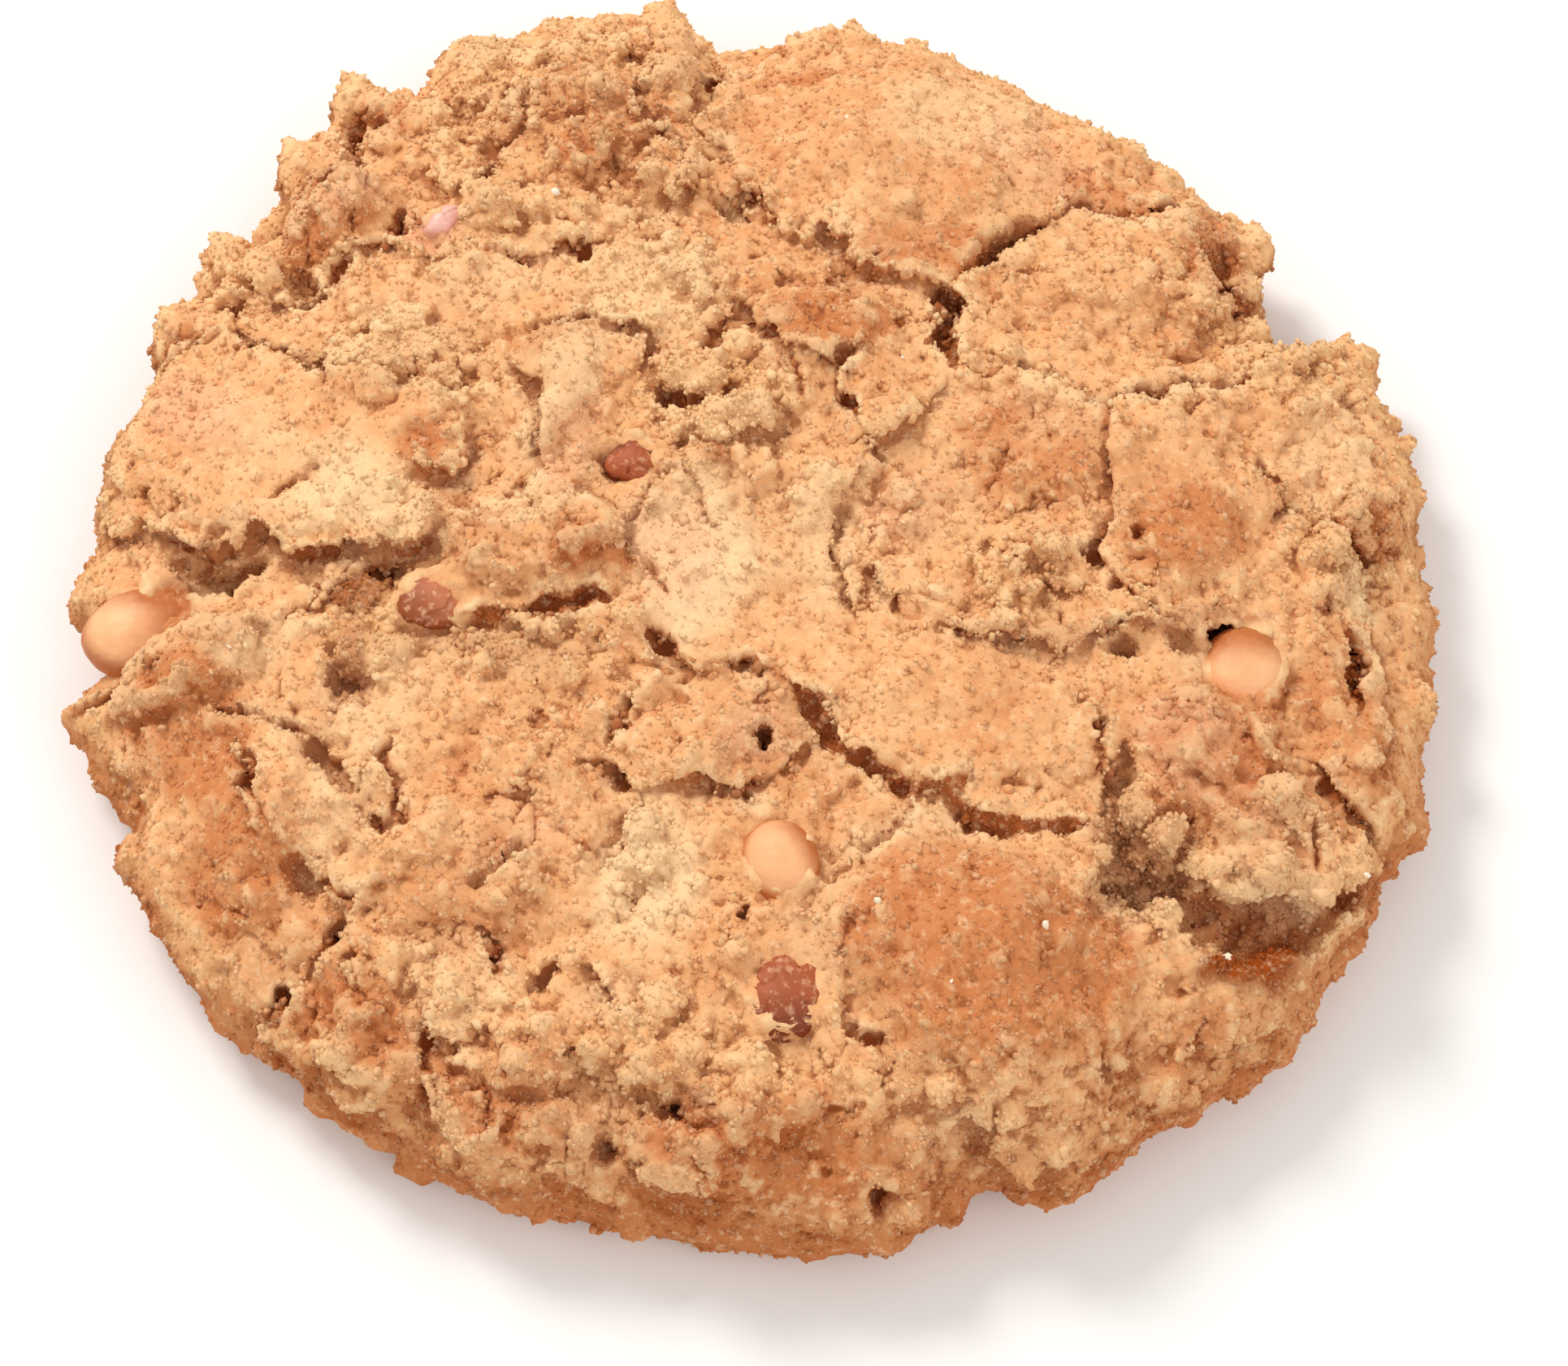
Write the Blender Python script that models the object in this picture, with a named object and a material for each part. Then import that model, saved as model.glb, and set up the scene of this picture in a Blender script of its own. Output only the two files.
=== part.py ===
"""A thick, craggy peanut butter cookie with half-sunk chips and nut pieces.

The cookie lies flat on its underside. +Z is up, +X is right and +Y is back, as it is seen in plan.
The origin is the middle of its outline at the height of the underside. The tables are in millimetres
and degrees, measured in plan from the origin, and MM turns them into metres.
"""

from math import cos, pi, radians, sin, sqrt

import bmesh
import bpy
import numpy as np
from mathutils import Matrix, noise

MM = 0.001

# Driving dimensions, in millimetres.
RADIUS = 60.0
HEIGHT = 19.0
WIDEST_AT = 5.6
EDGE_LIFT = 0.6
BASE_SHARE = 0.955
TOP_ROUNDNESS = 3.3
FOOT_ROUNDNESS = 0.6
TOP_FROM = (5.0, 10.5)
FOOT_HEIGHT = 2.5
GAP = 0.3

# How fine the dough is modelled: squares along a side, rounds of smoothing, then triangles once it is
# thinned out.
GRID = 230
SMOOTHINGS, SMOOTHING = 3, 0.5
COOKIE_TRIANGLES = 9900

# How far drawn edges are pushed about, then the height, size and shift of the dough's two swells.
SHAKE, SHAKE_SIZE = 1.6, 8.0
SWAY, SWAY_SIZE = 1.3, 5.0
NUDGE = 0.8
SWELLS = ((1.1, 17.0, 3.3), (0.8, 7.5, 9.1))

# The crags, how much of them lies in treads and how high a tread is, then the mounds and the clods.
CRAG_HEIGHT, CRAG_SIZE = 1.7, 8.5
TERRACED_SHARE, TREAD = 0.65, 0.85
MOUND_SIZE, SMALL_MOUND_SIZE = 6.5, 2.8
CLOD_SIZE = 6.3
FLOOR_MOUNDS, FLOOR_CLODS = 1.6, 0.8

# How broken the crust is, from 0 to 1: usually, at least, and down the side. Then how much of each form
# a smooth crust has, and how much more a wholly broken one.
USUAL_ROUGHNESS, LEAST_ROUGHNESS, SIDE_ROUGHNESS = 0.22, 0.02, 0.3
CRAGS = (0.35, 0.9)
MOUNDS = (0.4, 0.9)
CLODS = (0.10, 1.0)
SMALL_MOUNDS = (0.30, 0.30)

# The crust beside a crack: the curl of its lip, the spread of its step, and how far that leans over.
CURL, CURL_AT, CURL_WIDTH = 0.08, 1.7, 0.9
STEP_SHARE, STEP_SPREAD = 1.3, 4.0
OVERHANG, OVERHANG_SPREAD = 0.8, 1.3
CRACK_SHARE, CRACK_FLOOR, CRACK_SPREAD = 0.8, 0.3, 1.4

# How much of a rift's and a hollow's depth is dug, how much its floor dishes, and how far a lip reaches.
# Then between where their walls run: in shares of a rift's half width, and in millimetres for a hollow.
RIFT_SHARE, RIFT_DISH = 0.85, 0.3
HOLLOW_DISH, LIP_SPREAD = 0.35, 1.6
RIFT_EDGE = (0.72, 1.08)
HOLLOW_EDGE = (-0.45, 0.3)

# How wide the dough's shore round a chip is, as a share of the chip, and its groove in millimetres.
SHORE, GROOVE_WIDTH = 0.28, 0.4

# The baked dough.
DOUGH_COLOUR, DOUGH_ROUGHNESS = (0.78, 0.41, 0.19), 0.85

# How uneven the chips are, how far the small chip is drawn into a triangle, and how chipped some are.
UNEVEN, FINE_UNEVEN = 0.07, 0.012
TRIANGULAR = 0.2
FACET_STEP, FACET_DISH, FACET_SIZE = 0.10, 0.05, 0.8

# The rim in plan: angle from +X, and how far it reaches. The two deep notches are at 27 and 122.
RIM = (
    (2, 60.2), (16, 60.8), (23.5, 60.6), (26.6, 53.2), (31, 55.2), (38, 58.4), (47, 58.0),
    (55, 56.4), (72, 58.3), (83, 58.4), (89, 57.2), (93.8, 56.4), (97.3, 60.8), (103, 61.4),
    (108, 63.2), (112, 62.0), (116, 64.2), (121.8, 59.6), (126, 65.0), (130, 62.4), (134, 63.6),
    (139, 59.4), (142, 57.8), (146, 60.7), (150, 59.4), (154, 61.2), (161, 58.4), (167, 60.4),
    (171, 60.2), (177, 58.9), (182, 60.6), (185, 58.9), (188, 57.4), (191.5, 61.2), (203, 58.6),
    (206, 61.2), (210, 60.3), (222, 60.3), (236, 59.5), (250, 60.2), (262, 59.4), (280.7, 61.6),
    (289.5, 58.2), (296, 61.8), (306, 61.0), (313, 61.8), (326, 61.4), (331, 62.2), (334.1, 59.9),
    (337.5, 62.0), (345, 60.8), (349, 61.4), (355, 60.2),
)

# Plates and lumps of crust: centre, half sizes, turn, rise, and how steep the edge is from 0 to 1.
PLATES = {
    "back plate": (13, 42, 16, 12.5, -8, 1.2, 0.6),
    "back left crags": (-17, 42, 14, 14, 0, 1.0, 0.3),
    "back left lump": (-16, 38.4, 3.6, 3.2, 20, 1.3, 0.5),
    "back lump": (-8, 36.8, 3.4, 2.8, 0, 1.1, 0.5),
    "crag, outer": (-24, 51, 5.0, 4.0, 20, 1.5, 0.5),
    "crag, back": (-16.6, 52.0, 4.2, 4.4, 0, 1.3, 0.5),
    "crag, back right": (-8.6, 50.6, 3.6, 4.6, 10, 1.1, 0.5),
    "crag, edge": (-38.2, 50.5, 3.0, 4.4, 30, 1.8, 0.5),
    "crag, side": (-45.0, 43.0, 3.4, 4.4, 35, 1.7, 0.5),
    "crag, low": (-49.8, 33.0, 3.4, 4.0, 35, 1.4, 0.5),
    "crag, lowest": (-53.6, 24.8, 3.0, 4.2, 15, 1.3, 0.5),
    "crag, middle": (-27.0, 39.4, 3.6, 4.2, 20, 1.4, 0.5),
    "crag, inner": (-24.1, 33.3, 4.2, 2.8, -10, 1.0, 0.5),
    "crag, ridge": (-37.0, 34.0, 6.6, 2.6, 32, 1.5, 0.5),
    "right back plate": (34, 29, 10.5, 8, 12, 1.1, 0.7),
    "brown cap": (6.4, 20.6, 7.4, 6.0, 5, 1.5, 0.6),
    "cap step": (11.6, 11.8, 4.2, 3.4, 40, 0.9, 0.7),
    "crumpled lump": (-4.7, 15.2, 4.6, 3.6, -12, 1.9, 0.65),
    "flap": (-2.6, 10.4, 5.2, 2.5, 14, 1.9, 0.8),
    "left flake": (-43.0, 9.4, 14.0, 9.4, -14, 1.2, 0.8),
    "left flake tip": (-31.6, 2.8, 4.4, 3.6, -24, 1.2, 0.8),
    "short flake": (-28.2, 9.9, 4.0, 4.4, -12, 1.0, 0.75),
    "crust over left chip": (-48.8, -10.6, 7.2, 4.4, 26, 2.6, 0.75),
    "bridge": (-17.6, -1.0, 8.6, 3.8, 4, 2.6, 0.6),
    "bridge knuckle": (-14.0, -3.0, 3.6, 2.4, 0, 1.3, 0.5),
    "bridge, left": (-27.6, 1.0, 3.6, 2.4, -20, 1.2, 0.6),
    "smooth ridge": (-38.2, 34.6, 4.6, 2.3, 27, 1.0, 0.35),
    "pale ridge": (-17.0, 12.5, 3.0, 8.6, -26, 1.3, 0.4),
    "pale ridge, foot": (-18.6, 3.6, 3.0, 2.4, 0, 0.9, 0.5),
    "middle plate": (-3.6, -3.6, 7.0, 7.4, 0, 0.6, 0.6),
    "right plate": (36.0, 4.4, 6.2, 8.8, 0, 1.0, 0.7),
    "right arc plate": (24.0, 9.0, 8.4, 6.4, 10, 0.9, 0.6),
    "inner right plate": (18.6, -17.4, 11.0, 7.4, -14, 1.1, 0.7),
    "outer right plate": (38.8, -19.4, 7.6, 6.8, -30, 1.6, 0.6),
    "right crumb heap": (45.0, -28.0, 7.4, 5.2, -34, 2.8, 0.6),
    "right edge plate": (51.0, -9.0, 4.0, 11.0, 8, 0.9, 0.6),
    "front dome": (18.6, -39.0, 14.4, 13.0, -14, 3.8, 0.35),
    "front left plate": (-20.5, -27.0, 7.6, 9.4, -24, 1.2, 0.7),
    "left front plate": (-45.4, -22.0, 8.6, 12.6, -12, 1.1, 0.7),
    "left step": (-36.6, -24.6, 4.0, 4.6, -30, 1.0, 0.75),
    "low middle plate": (-5.0, -19.4, 6.0, 4.8, 0, 0.9, 0.7),
    "pale front crumb": (-8.6, -30.5, 4.2, 6.8, 0, 0.7, 0.5),
    "steam hole rim": (0.3, -19.7, 2.1, 2.0, 0, 0.6, 0.4),
    "front knob": (-6.4, -53.0, 5.8, 3.6, -22, 2.0, 0.6),
    "front left lump": (-31.6, -44.6, 5.4, 4.6, -25, 1.6, 0.6),
    "front left lump, low": (-23.8, -49.6, 3.4, 4.4, 15, 1.5, 0.5),
    "front left lump, top": (-25.0, -42.2, 3.6, 3.2, -20, 1.4, 0.5),
    "front lump": (-17.4, -45.6, 4.2, 4.2, -10, 1.6, 0.6),
    "front lump, low": (-16.2, -52.6, 3.4, 3.4, 10, 1.6, 0.5),
    "front lump, right": (-9.4, -45.2, 3.8, 3.6, 20, 1.2, 0.5),
    "front lump, far right": (0.6, -50.2, 4.4, 4.2, -20, 1.4, 0.5),
    "front left wedge": (-33.0, -38.0, 3.2, 5.0, 20, 1.1, 0.7),
}

# Cracks: width, depth, how much higher the left side is, and the way the crack runs.
CRACKS = {
    "back, upper": (0.5, 2.0, 0.5, ((-2, 37), (0.5, 33.5), (2, 29.3))),
    "back, lower": (0.5, 2.0, 0.9, ((2, 29.3), (8.2, 29.8), (8.6, 27.3), (12.2, 26.7), (16.5, 24.5))),
    "back right, down": (0.7, 3.2, 0.3, ((16.0, 24.8), (18.1, 23.2), (17.2, 20.2), (18.0, 16.1))),
    "back right, end": (0.4, 1.5, 0.3, ((27.6, 34.1), (30, 36.4), (36, 36.0), (42, 35.0))),
    "cap, left arm": (0.4, 1.4, 0.3, ((3, 17.5), (6.8, 14.7))),
    "cap, right arm": (0.4, 1.4, 0.0, ((10.1, 17.8), (6.8, 14.7), (8.1, 12.7), (10.2, 8.7))),
    "cap, left side": (0.45, 1.6, 0.3, ((-1.0, 23.0), (0.6, 19.0), (3, 17.5), (3.6, 12.5))),
    "middle arc": (0.35, 1.0, -0.3, ((17.9, 16), (14, 9.1), (10.4, 6.6), (7.8, 2.8), (6, -2))),
    "right arc": (0.45, 1.8, -0.5, ((17.9, 16), (23.8, 16.4), (29, 13), (31.2, 12.7), (41, 16), (51, 22))),
    "right, long": (
        0.5, 2.1, 0.3, ((31.4, 14.9), (30.4, 8), (30.9, 2), (30.1, -1.4), (32.4, -4.8), (35.5, -7.9))),
    "right, short": (0.35, 1.2, 0.0, ((22.1, 8.6), (20, 3.4))),
    "middle, down": (0.5, 2.0, 0.3, ((5.5, -0.6), (7.1, -4.1), (8.6, -7.6))),
    "ledge": (0.4, 0.8, 0.7, ((10.8, -2.2), (11.2, -5.1), (16.5, -7.2))),
    "right hollow line": (0.35, 1.0, 0.6, ((14.0, -9.6), (21, -9.2), (26.6, -10), (32.7, -7), (35.5, -7.9))),
    "diagonal, upper": (
        0.8, 3.6, 0.5, ((1.9, -12.8), (4.7, -17), (6.2, -19.2), (9.8, -20.8), (13.6, -24.4))),
    "diagonal, lower": (0.7, 2.6, 0.7, ((13.6, -24.4), (17.4, -25.4), (23.2, -26.8), (27.4, -25.5))),
    "right branch": (0.5, 2.0, 0.4, ((27.1, -15.2), (29, -17.7), (27.8, -19.3), (30.4, -22.5), (31, -25))),
    "right edge, upper": (0.45, 1.6, 0.4, ((44.5, 10.2), (46, 7.3), (46.4, 4.4), (45.8, 2.6))),
    "right edge, lens": (0.6, 2.2, 0.4, ((50.8, -2.8), (50.9, -4.8), (52.4, -8.8), (51.5, -14.7))),
    "right edge, lower": (
        0.45, 1.6, 0.3, ((46.8, -19), (48, -20.4), (49.4, -23.1), (53.5, -25.8), (57, -27.5))),
    "right heap": (0.35, 1.2, 0.0, ((48.4, -26.4), (47.8, -29.6))),
    "left flake edge": (
        0.6, 2.0, 1.3, ((-58.4, 5.2), (-51.3, 1.0), (-47.7, -0.9), (-44.8, 1.0), (-43.2, 2.8),
                                        (-40.8, -0.5), (-34.4, -0.9), (-29.0, -0.3), (-28.5, 4.1))),
    "short flake edge": (0.5, 1.2, 0.9, ((-29.6, 7.2), (-26.7, 6.0), (-24.8, 8.1), (-24.6, 11.7))),
    "crags, middle": (0.5, 1.8, 0.3, ((-21.7, 47.4), (-20.4, 42.6), (-22.5, 40.2), (-24.6, 36.0))),
    "crags, right": (0.5, 1.8, -0.3, ((-10.2, 50.5), (-11.2, 45.4), (-9.6, 41.4), (-6.6, 39.0))),
    "crags, left": (0.5, 1.3, 0.3, ((-31.9, 56.9), (-30.3, 51.6), (-31.4, 47.0))),
    "crags, foot": (0.4, 1.6, 0.3, ((-3.3, 37.3), (-1.8, 34.5), (0.1, 31.9))),
    "heap, top": (0.3, 0.6, 0.2, ((35.2, -21.2), (39.3, -22.4), (43.5, -24.8), (46.3, -28.5))),
    "left crevice": (
        0.6, 2.2, 0.7, ((-41.7, -7.8), (-39.2, -6.3), (-36.6, -4.3), (-34.0, -2.6), (-30.6, -1.4))),
    "bridge shadow": (0.7, 1.6, 0.0, ((-30.5, -8), (-24.4, -8.6), (-21.2, -7.4), (-16, -6), (-11.2, -6.4))),
    "lump, left": (0.4, 1.4, 0.0, ((-8.8, 15.7), (-8.1, 13.2), (-5.9, 12), (-2.7, 13.1))),
    "flap shadow": (0.6, 1.8, 1.0, ((0.6, 8.4), (-3.9, 7.2), (-6.9, 6.8))),
    "middle, left": (0.4, 1.6, 0.0, ((-6.9, 6.8), (-6.7, 4.3), (-5, 1.9), (-3, 0.4))),
    "bridge end": (0.4, 1.4, 0.0, ((-9, 4.4), (-10.1, 0.4), (-10.7, -1.5), (-8.4, -6.2))),
    "middle shadow": (0.6, 1.4, 0.5, ((-9.5, -10), (-7.4, -11.4), (-4.2, -13.1), (1.9, -12.8))),
    "left front, long": (0.5, 2.0, -0.5, ((-47, -14.6), (-41.3, -16), (-37.4, -18))),
    "left front, tail": (0.5, 2.0, -0.5, ((-32.6, -24.5), (-30.5, -26.0), (-27.5, -25.5))),
    "left front, zigzag": (
        0.4, 1.5, 0.4, ((-42.6, -18.7), (-43.2, -20.1), (-42.4, -21.9), (-43.7, -22.9), (-40.9, -27.3))),
    "left front, dark": (0.6, 2.0, 0.5, ((-38, -29.5), (-33.2, -32), (-33.8, -33.0))),
    "left front, low": (0.5, 2.0, 0.5, ((-36.9, -37.6), (-39.5, -39.5), (-42, -42))),
    "left front, short": (0.4, 1.6, 0.0, ((-29.1, -18.5), (-29.8, -20.3), (-29.2, -24.3), (-28.1, -26.1))),
    "front, upper": (0.4, 1.4, 0.3, ((-10.7, -15.1), (-11.6, -17.6), (-12.4, -19))),
    "front, hook": (
        0.5, 1.9, 0.5, ((-14.9, -20.3), (-12.3, -22.1), (-10.4, -23.9), (-11, -26.4), (-13.1, -30.3))),
    "front, level": (0.45, 1.6, 0.4, ((-10.4, -23.9), (-6.4, -23.8), (-0.9, -24.8), (3, -23), (5, -19.5))),
    "front left, down": (0.45, 1.5, 0.4, ((-18.2, -27.5), (-20.7, -30.1), (-22.9, -32.1))),
    "front left, wide": (0.5, 2.0, -0.6, ((-23.7, -35), (-22.6, -37.3), (-21.4, -39.4))),
    "front left, end": (0.45, 1.6, 0.3, ((-14.4, -39.5), (-12.3, -41.5), (-11.0, -44.5))),
    "front, twig": (0.3, 1.0, 0.0, ((-26.5, -44.8), (-24.2, -43.9), (-21.5, -43.0))),
    "front, seam": (0.35, 1.2, 0.3, ((-27.4, -42.0), (-26.6, -46.0), (-25.6, -50.0))),
    "front, second seam": (0.35, 1.2, 0.3, ((-22.4, -46.5), (-21.8, -49.5), (-23.0, -53.5))),
    "dome, left": (
        0.45, 1.2, -0.3, ((9, -34), (7.5, -39.2), (7.1, -41), (7.6, -43.5), (10.7, -45), (10.2, -48.6))),
    "dome, right": (0.35, 0.9, 0.0, ((28, -44.6), (29.3, -47))),
    "dome, top": (0.5, 1.5, -0.5, ((5.5, -34), (9.3, -28.6), (13.6, -24.4))),
    "front rim": (0.5, 1.8, 0.4, ((19.1, -50), (19, -55), (19.4, -60))),
    "left flake back": (0.5, 1.6, -0.7, ((-56, 19.6), (-47, 21.4), (-38, 17.6), (-31, 14.4), (-24, 13.8))),
    "back left, low": (
        0.4, 1.0, 0.4, ((-52, 27.4), (-45, 25.2), (-41.4, 25.3), (-36, 30), (-30.7, 28.9), (-25.4, 27.1))),
    "back left, arc": (0.45, 1.3, 0.4, ((-23, 29), (-18.6, 27.4), (-15.5, 28.3), (-11, 31))),
    "back, radial": (0.4, 1.2, 0.3, ((-4, 56.4), (-3.6, 50), (-5, 44), (-2, 37))),
    "pale ridge side": (0.4, 1.3, 0.4, ((-21.5, 19), (-20, 12), (-18.6, 6), (-22.6, 2.4))),
    "crumb divide": (0.4, 1.2, 0.0, ((-21.5, 19), (-15, 21.5), (-10, 20), (-8.8, 15.7))),
}

# Wide rifts where the crust has come apart: half width, depth, and the way the rift runs.
RIFTS = {
    "front right": (2.9, 5.2, ((30.6, -20.2), (30.4, -25.8), (32.2, -30.4), (36.6, -33.6), (41.6, -35.2),
                               (46.4, -33.8), (51.6, -29.0))),
    "back right": (1.0, 3.2, ((16.8, 24.6), (21.4, 29.3), (24.3, 31.2), (27.6, 34.1))),
    "left trough": (1.1, 2.4, ((-37.4, -18.0), (-35.5, -21.1), (-32.6, -24.5))),
    "left slot": (1.0, 3.2, ((-33.8, -32.6), (-35.5, -35.2), (-36.9, -37.6))),
    "left slot, right": (0.7, 2.2, ((-31.3, -36.2), (-30.2, -40.4))),
    "level slot": (0.9, 2.6, ((-21.6, -39.4), (-18.6, -39.2), (-14.4, -39.5))),
    "left cave": (1.3, 4.6, ((-52.4, -0.6), (-48.6, -2.6), (-45.4, -2.4), (-42.6, -0.2))),
    "under the bridge": (2.2, 2.8, ((-31.6, -8.6), (-27.0, -9.2), (-22.4, -9.6), (-15.4, -10.5))),
    "left hollow": (1.9, 3.0, ((-33.6, -8.2), (-34.7, -11.0), (-34.2, -14.4))),
    "back left gully": (0.9, 3.0, ((-36.2, 43.0), (-37.6, 39.6), (-41.6, 35.0))),
    "right pocket": (1.4, 2.6, ((48.2, 3.9), (52.1, 2.7), (56.0, 1.2))),
}

# Hollows where crust is missing: centre, half sizes, turn, depth, then the way the crust leans over.
HOLLOWS = {
    "left notch": (-55.6, -12.2, 3.4, 1.0, 16, 3.0, 0, 0.0),
    "right chip cave": (42.2, -7.6, 4.1, 2.4, 0, 5.0, -90, 4.2),
    "beside the right chip": (36.8, -8.8, 2.6, 1.7, 20, 1.6, 0, 0.0),
    "right pit": (30.9, -10.2, 1.0, 0.9, 0, 2.6, 0, 0.0),
    "round hole": (-32.3, 33.0, 1.1, 1.8, 0, 4.6, 0, 0.0),
    "back left hollow, outer": (-35.8, 44.6, 2.2, 2.2, -20, 3.6, 0, 0.0),
    "back left hollow, side": (-42.0, 27.2, 1.4, 2.0, 0, 2.6, 0, 0.0),
    "left rim hollow": (-48.6, 26.2, 1.5, 1.1, 0, 2.4, 0, 0.0),
    "steam hole": (0.3, -19.7, 1.0, 0.95, 0, 4.0, 0, 0.0),
    "left front pit": (-38.4, -30.0, 2.1, 1.5, -30, 2.0, 0, 0.0),
    "lens hole": (34.2, 0.6, 0.5, 1.2, 0, 2.0, 0, 0.0),
    "knob gap": (-6.6, -50.0, 2.9, 0.9, -16, 3.2, 0, 0.0),
    "knob gap, side": (-11.8, -53.6, 1.3, 1.0, 0, 3.0, 0, 0.0),
    "rim hole": (11.4, -57.4, 1.6, 1.5, 0, 3.2, 0, 0.0),
    "right back pocket": (42.4, 29.6, 2.2, 4.4, 14, 2.8, 0, 0.0),
    "right back pit": (45.4, 26.4, 1.5, 1.7, 0, 3.4, 0, 0.0),
    "dark pit": (-1.3, -33.8, 0.8, 1.2, 10, 2.2, 0, 0.0),
    "back pit": (-2.3, 33.4, 1.6, 0.9, -20, 1.8, 0, 0.0),
}

# Where the crust is broken down to crumb: centre, half sizes, turn, and how rough from 0 to 1.
ROUGH_ZONES = (
    (-17, 42, 17, 15, 0, 0.45), (-31, 18, 11, 6, -15, 0.6),
    (23, -4, 6, 4.6, 0, 0.8), (-9.4, -29.6, 4, 6, 0, 0.35),
    (-20, -10, 10, 4, 6, 0.4), (33, -30, 5, 8, -40, 0.8), (52, 2, 7, 6, 0, 0.6), (44, 28, 9, 8, 0, 0.6),
    (-26, -44, 12, 9, -25, 0.35), (-6, -47, 12, 6, 0, 0.45), (-4, 13, 8, 7, 0, 0.7), (50, 20, 8, 6, 0, 0.5),
    (-44, 32, 10, 9, 0, 0.4), (48, -30, 9, 8, 0, 0.25), (-33, -8, 5, 6, 0, 0.6), (0, 4, 9, 6, 0, 0.2),
    (-9, 25, 8, 7, 0, 0.45), (24, -50, 16, 6, 0, 0.3), (10, 2, 5, 5, 0, 0.25), (-16, -17, 6, 5, 0, 0.3),
)
# Where the crust stays smooth, in the same form.
SMOOTH_ZONES = (
    (14, 43, 16, 11, -8, 0.6), (19, -38, 14, 12, -12, 0.6),
    (-42, 10, 12, 8, -14, 0.5), (38, 4, 7, 7, 0, 0.6),
    (-2, -5, 9, 8, 0, 0.6), (18.6, -17, 9, 6, -14, 0.4),
    (-46, -22, 8, 10, -30, 0.4), (-17, 10, 4, 8, -24, 0.5),
)

# Chips and nut pieces: centre, half sizes, turn in plan, tilt, rounds of subdivision, colour, roughness.
INCLUSIONS = {
    "chip_middle": ((2.3, -29.9, 17.2), (3.3, 3.8, 2.6), 20, 0, 3, (0.93, 0.50, 0.225), 0.5),
    "chip_right": ((42.0, -11.4, 14.9), (3.8, 4.0, 2.8), 0, 0, 3, (0.91, 0.45, 0.19), 0.5),
    "chip_left_rim": ((-53.4, -5.6, 10.3), (5.8, 4.1, 3.2), 14, 0, 3, (0.92, 0.45, 0.20), 0.5),
    "chip_small": ((-10.8, 7.4, 17.4), (2.5, 2.5, 1.9), -10, 0, 2, (0.36, 0.11, 0.04), 0.45),
    "chip_melted": ((2.5, -41.4, 16.2), (3.5, 4.2, 2.0), -15, 0, 3, (0.36, 0.085, 0.03), 0.6),
    "nut_piece": ((-27.2, -5.3, 16.4), (3.9, 2.9, 2.0), 12, 14, 2, (0.62, 0.25, 0.11), 0.5),
    "nut_bit_back": ((-28.0, 32.2, 16.6), (2.2, 1.5, 1.4), 30, 0, 2, (0.80, 0.44, 0.35), 0.3),
}

# How the dough closes round them: the share of their height it meets them at, the side on which it
# climbs over them and by how much, and the depth of the groove round the rest.
SEATS = {
    "chip_middle": (0.56, -80, 0.2, 0.8),
    "chip_right": (0.56, -90, 0.5, 0.6),
    "chip_small": (0.50, 60, 1.0, 0.3),
    "chip_melted": (0.66, -90, 0.2, 0.0),
    "nut_piece": (0.58, 80, 1.2, 0.4),
    "nut_bit_back": (0.55, 120, 0.4, 0.2),
}

# The pieces whose surface is chipped into facets.
CHIPPED = ("chip_small", "chip_melted", "nut_piece", "nut_bit_back")


def smooth(value, start, end):
    """0 at start, 1 at end, eased between them."""
    share = np.clip((value - start) / (end - start), 0, 1)
    return share * share * (3 - 2 * share)


def swell(spot):
    return noise.noise(spot)


def ragged(spot):
    return noise.fractal(spot, 0.7, 2.0, 6)


def wavy(spot):
    return noise.fractal(spot, 0.9, 2.0, 3)


def billows(spot):
    return noise.turbulence(spot, 4, True, amplitude_scale=0.55, frequency_scale=2.1) - 0.45


def terraced(height, step):
    """Heights gathered into flat treads a step apart, with short steep risers between them."""
    treads = np.floor(height / step)
    return step * (treads + smooth(height / step - treads, 0.36, 0.64))


def at_each(field, place, size, shift):
    """A noise field read at every place, with its swells about size apart."""
    spots = (place / size + shift).tolist()
    return np.fromiter((field(spot) for spot in spots), float, count=len(spots))


def clods(place, size, shift):
    """Packed clods: how near a place is to its own clod's middle and to the next clod, and its number."""
    near = np.empty(len(place))
    gap = np.empty(len(place))
    own = np.empty(len(place))
    for k, spot in enumerate((place / size + shift).tolist()):
        away, middles = noise.voronoi(spot)
        near[k] = away[0]
        gap[k] = away[1] - away[0]
        own[k] = noise.cell(middles[0] * 37.0)
    return near, gap, own


def ellipse(x, y, zone):
    """How far out each place is in the zone's ellipse: 0 at its centre and 1 on its edge."""
    centre_x, centre_y, half_x, half_y, turn = zone[:5]
    c, s = cos(radians(turn)), sin(radians(turn))
    along = (x - centre_x) * c + (y - centre_y) * s
    across = (y - centre_y) * c - (x - centre_x) * s
    return np.hypot(along / half_x, across / half_y)


def beside(x, y, path):
    """Where each place lies from the path: its distance, its side (left is plus), the share run, the way."""
    best = np.full(len(x), 1e9)
    side = np.ones(len(x))
    run = np.zeros(len(x))
    way = np.zeros((len(x), 2))
    last = len(path) - 1
    for k, ((ax, ay), (bx, by)) in enumerate(zip(path, path[1:])):
        dx, dy = bx - ax, by - ay
        share = np.clip(((x - ax) * dx + (y - ay) * dy) / (dx * dx + dy * dy), 0, 1)
        off_x, off_y = x - ax - share * dx, y - ay - share * dy
        away = np.hypot(off_x, off_y)
        closer = away < best
        best = np.where(closer, away, best)
        side = np.where(closer, np.sign(dx * (y - ay) - dy * (x - ax)), side)
        run = np.where(closer, (k + share) / last, run)
        way[closer] = (np.stack([off_x, off_y], axis=1) / np.maximum(away, 1e-6)[:, None])[closer]
    return best, side, run, way


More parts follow.
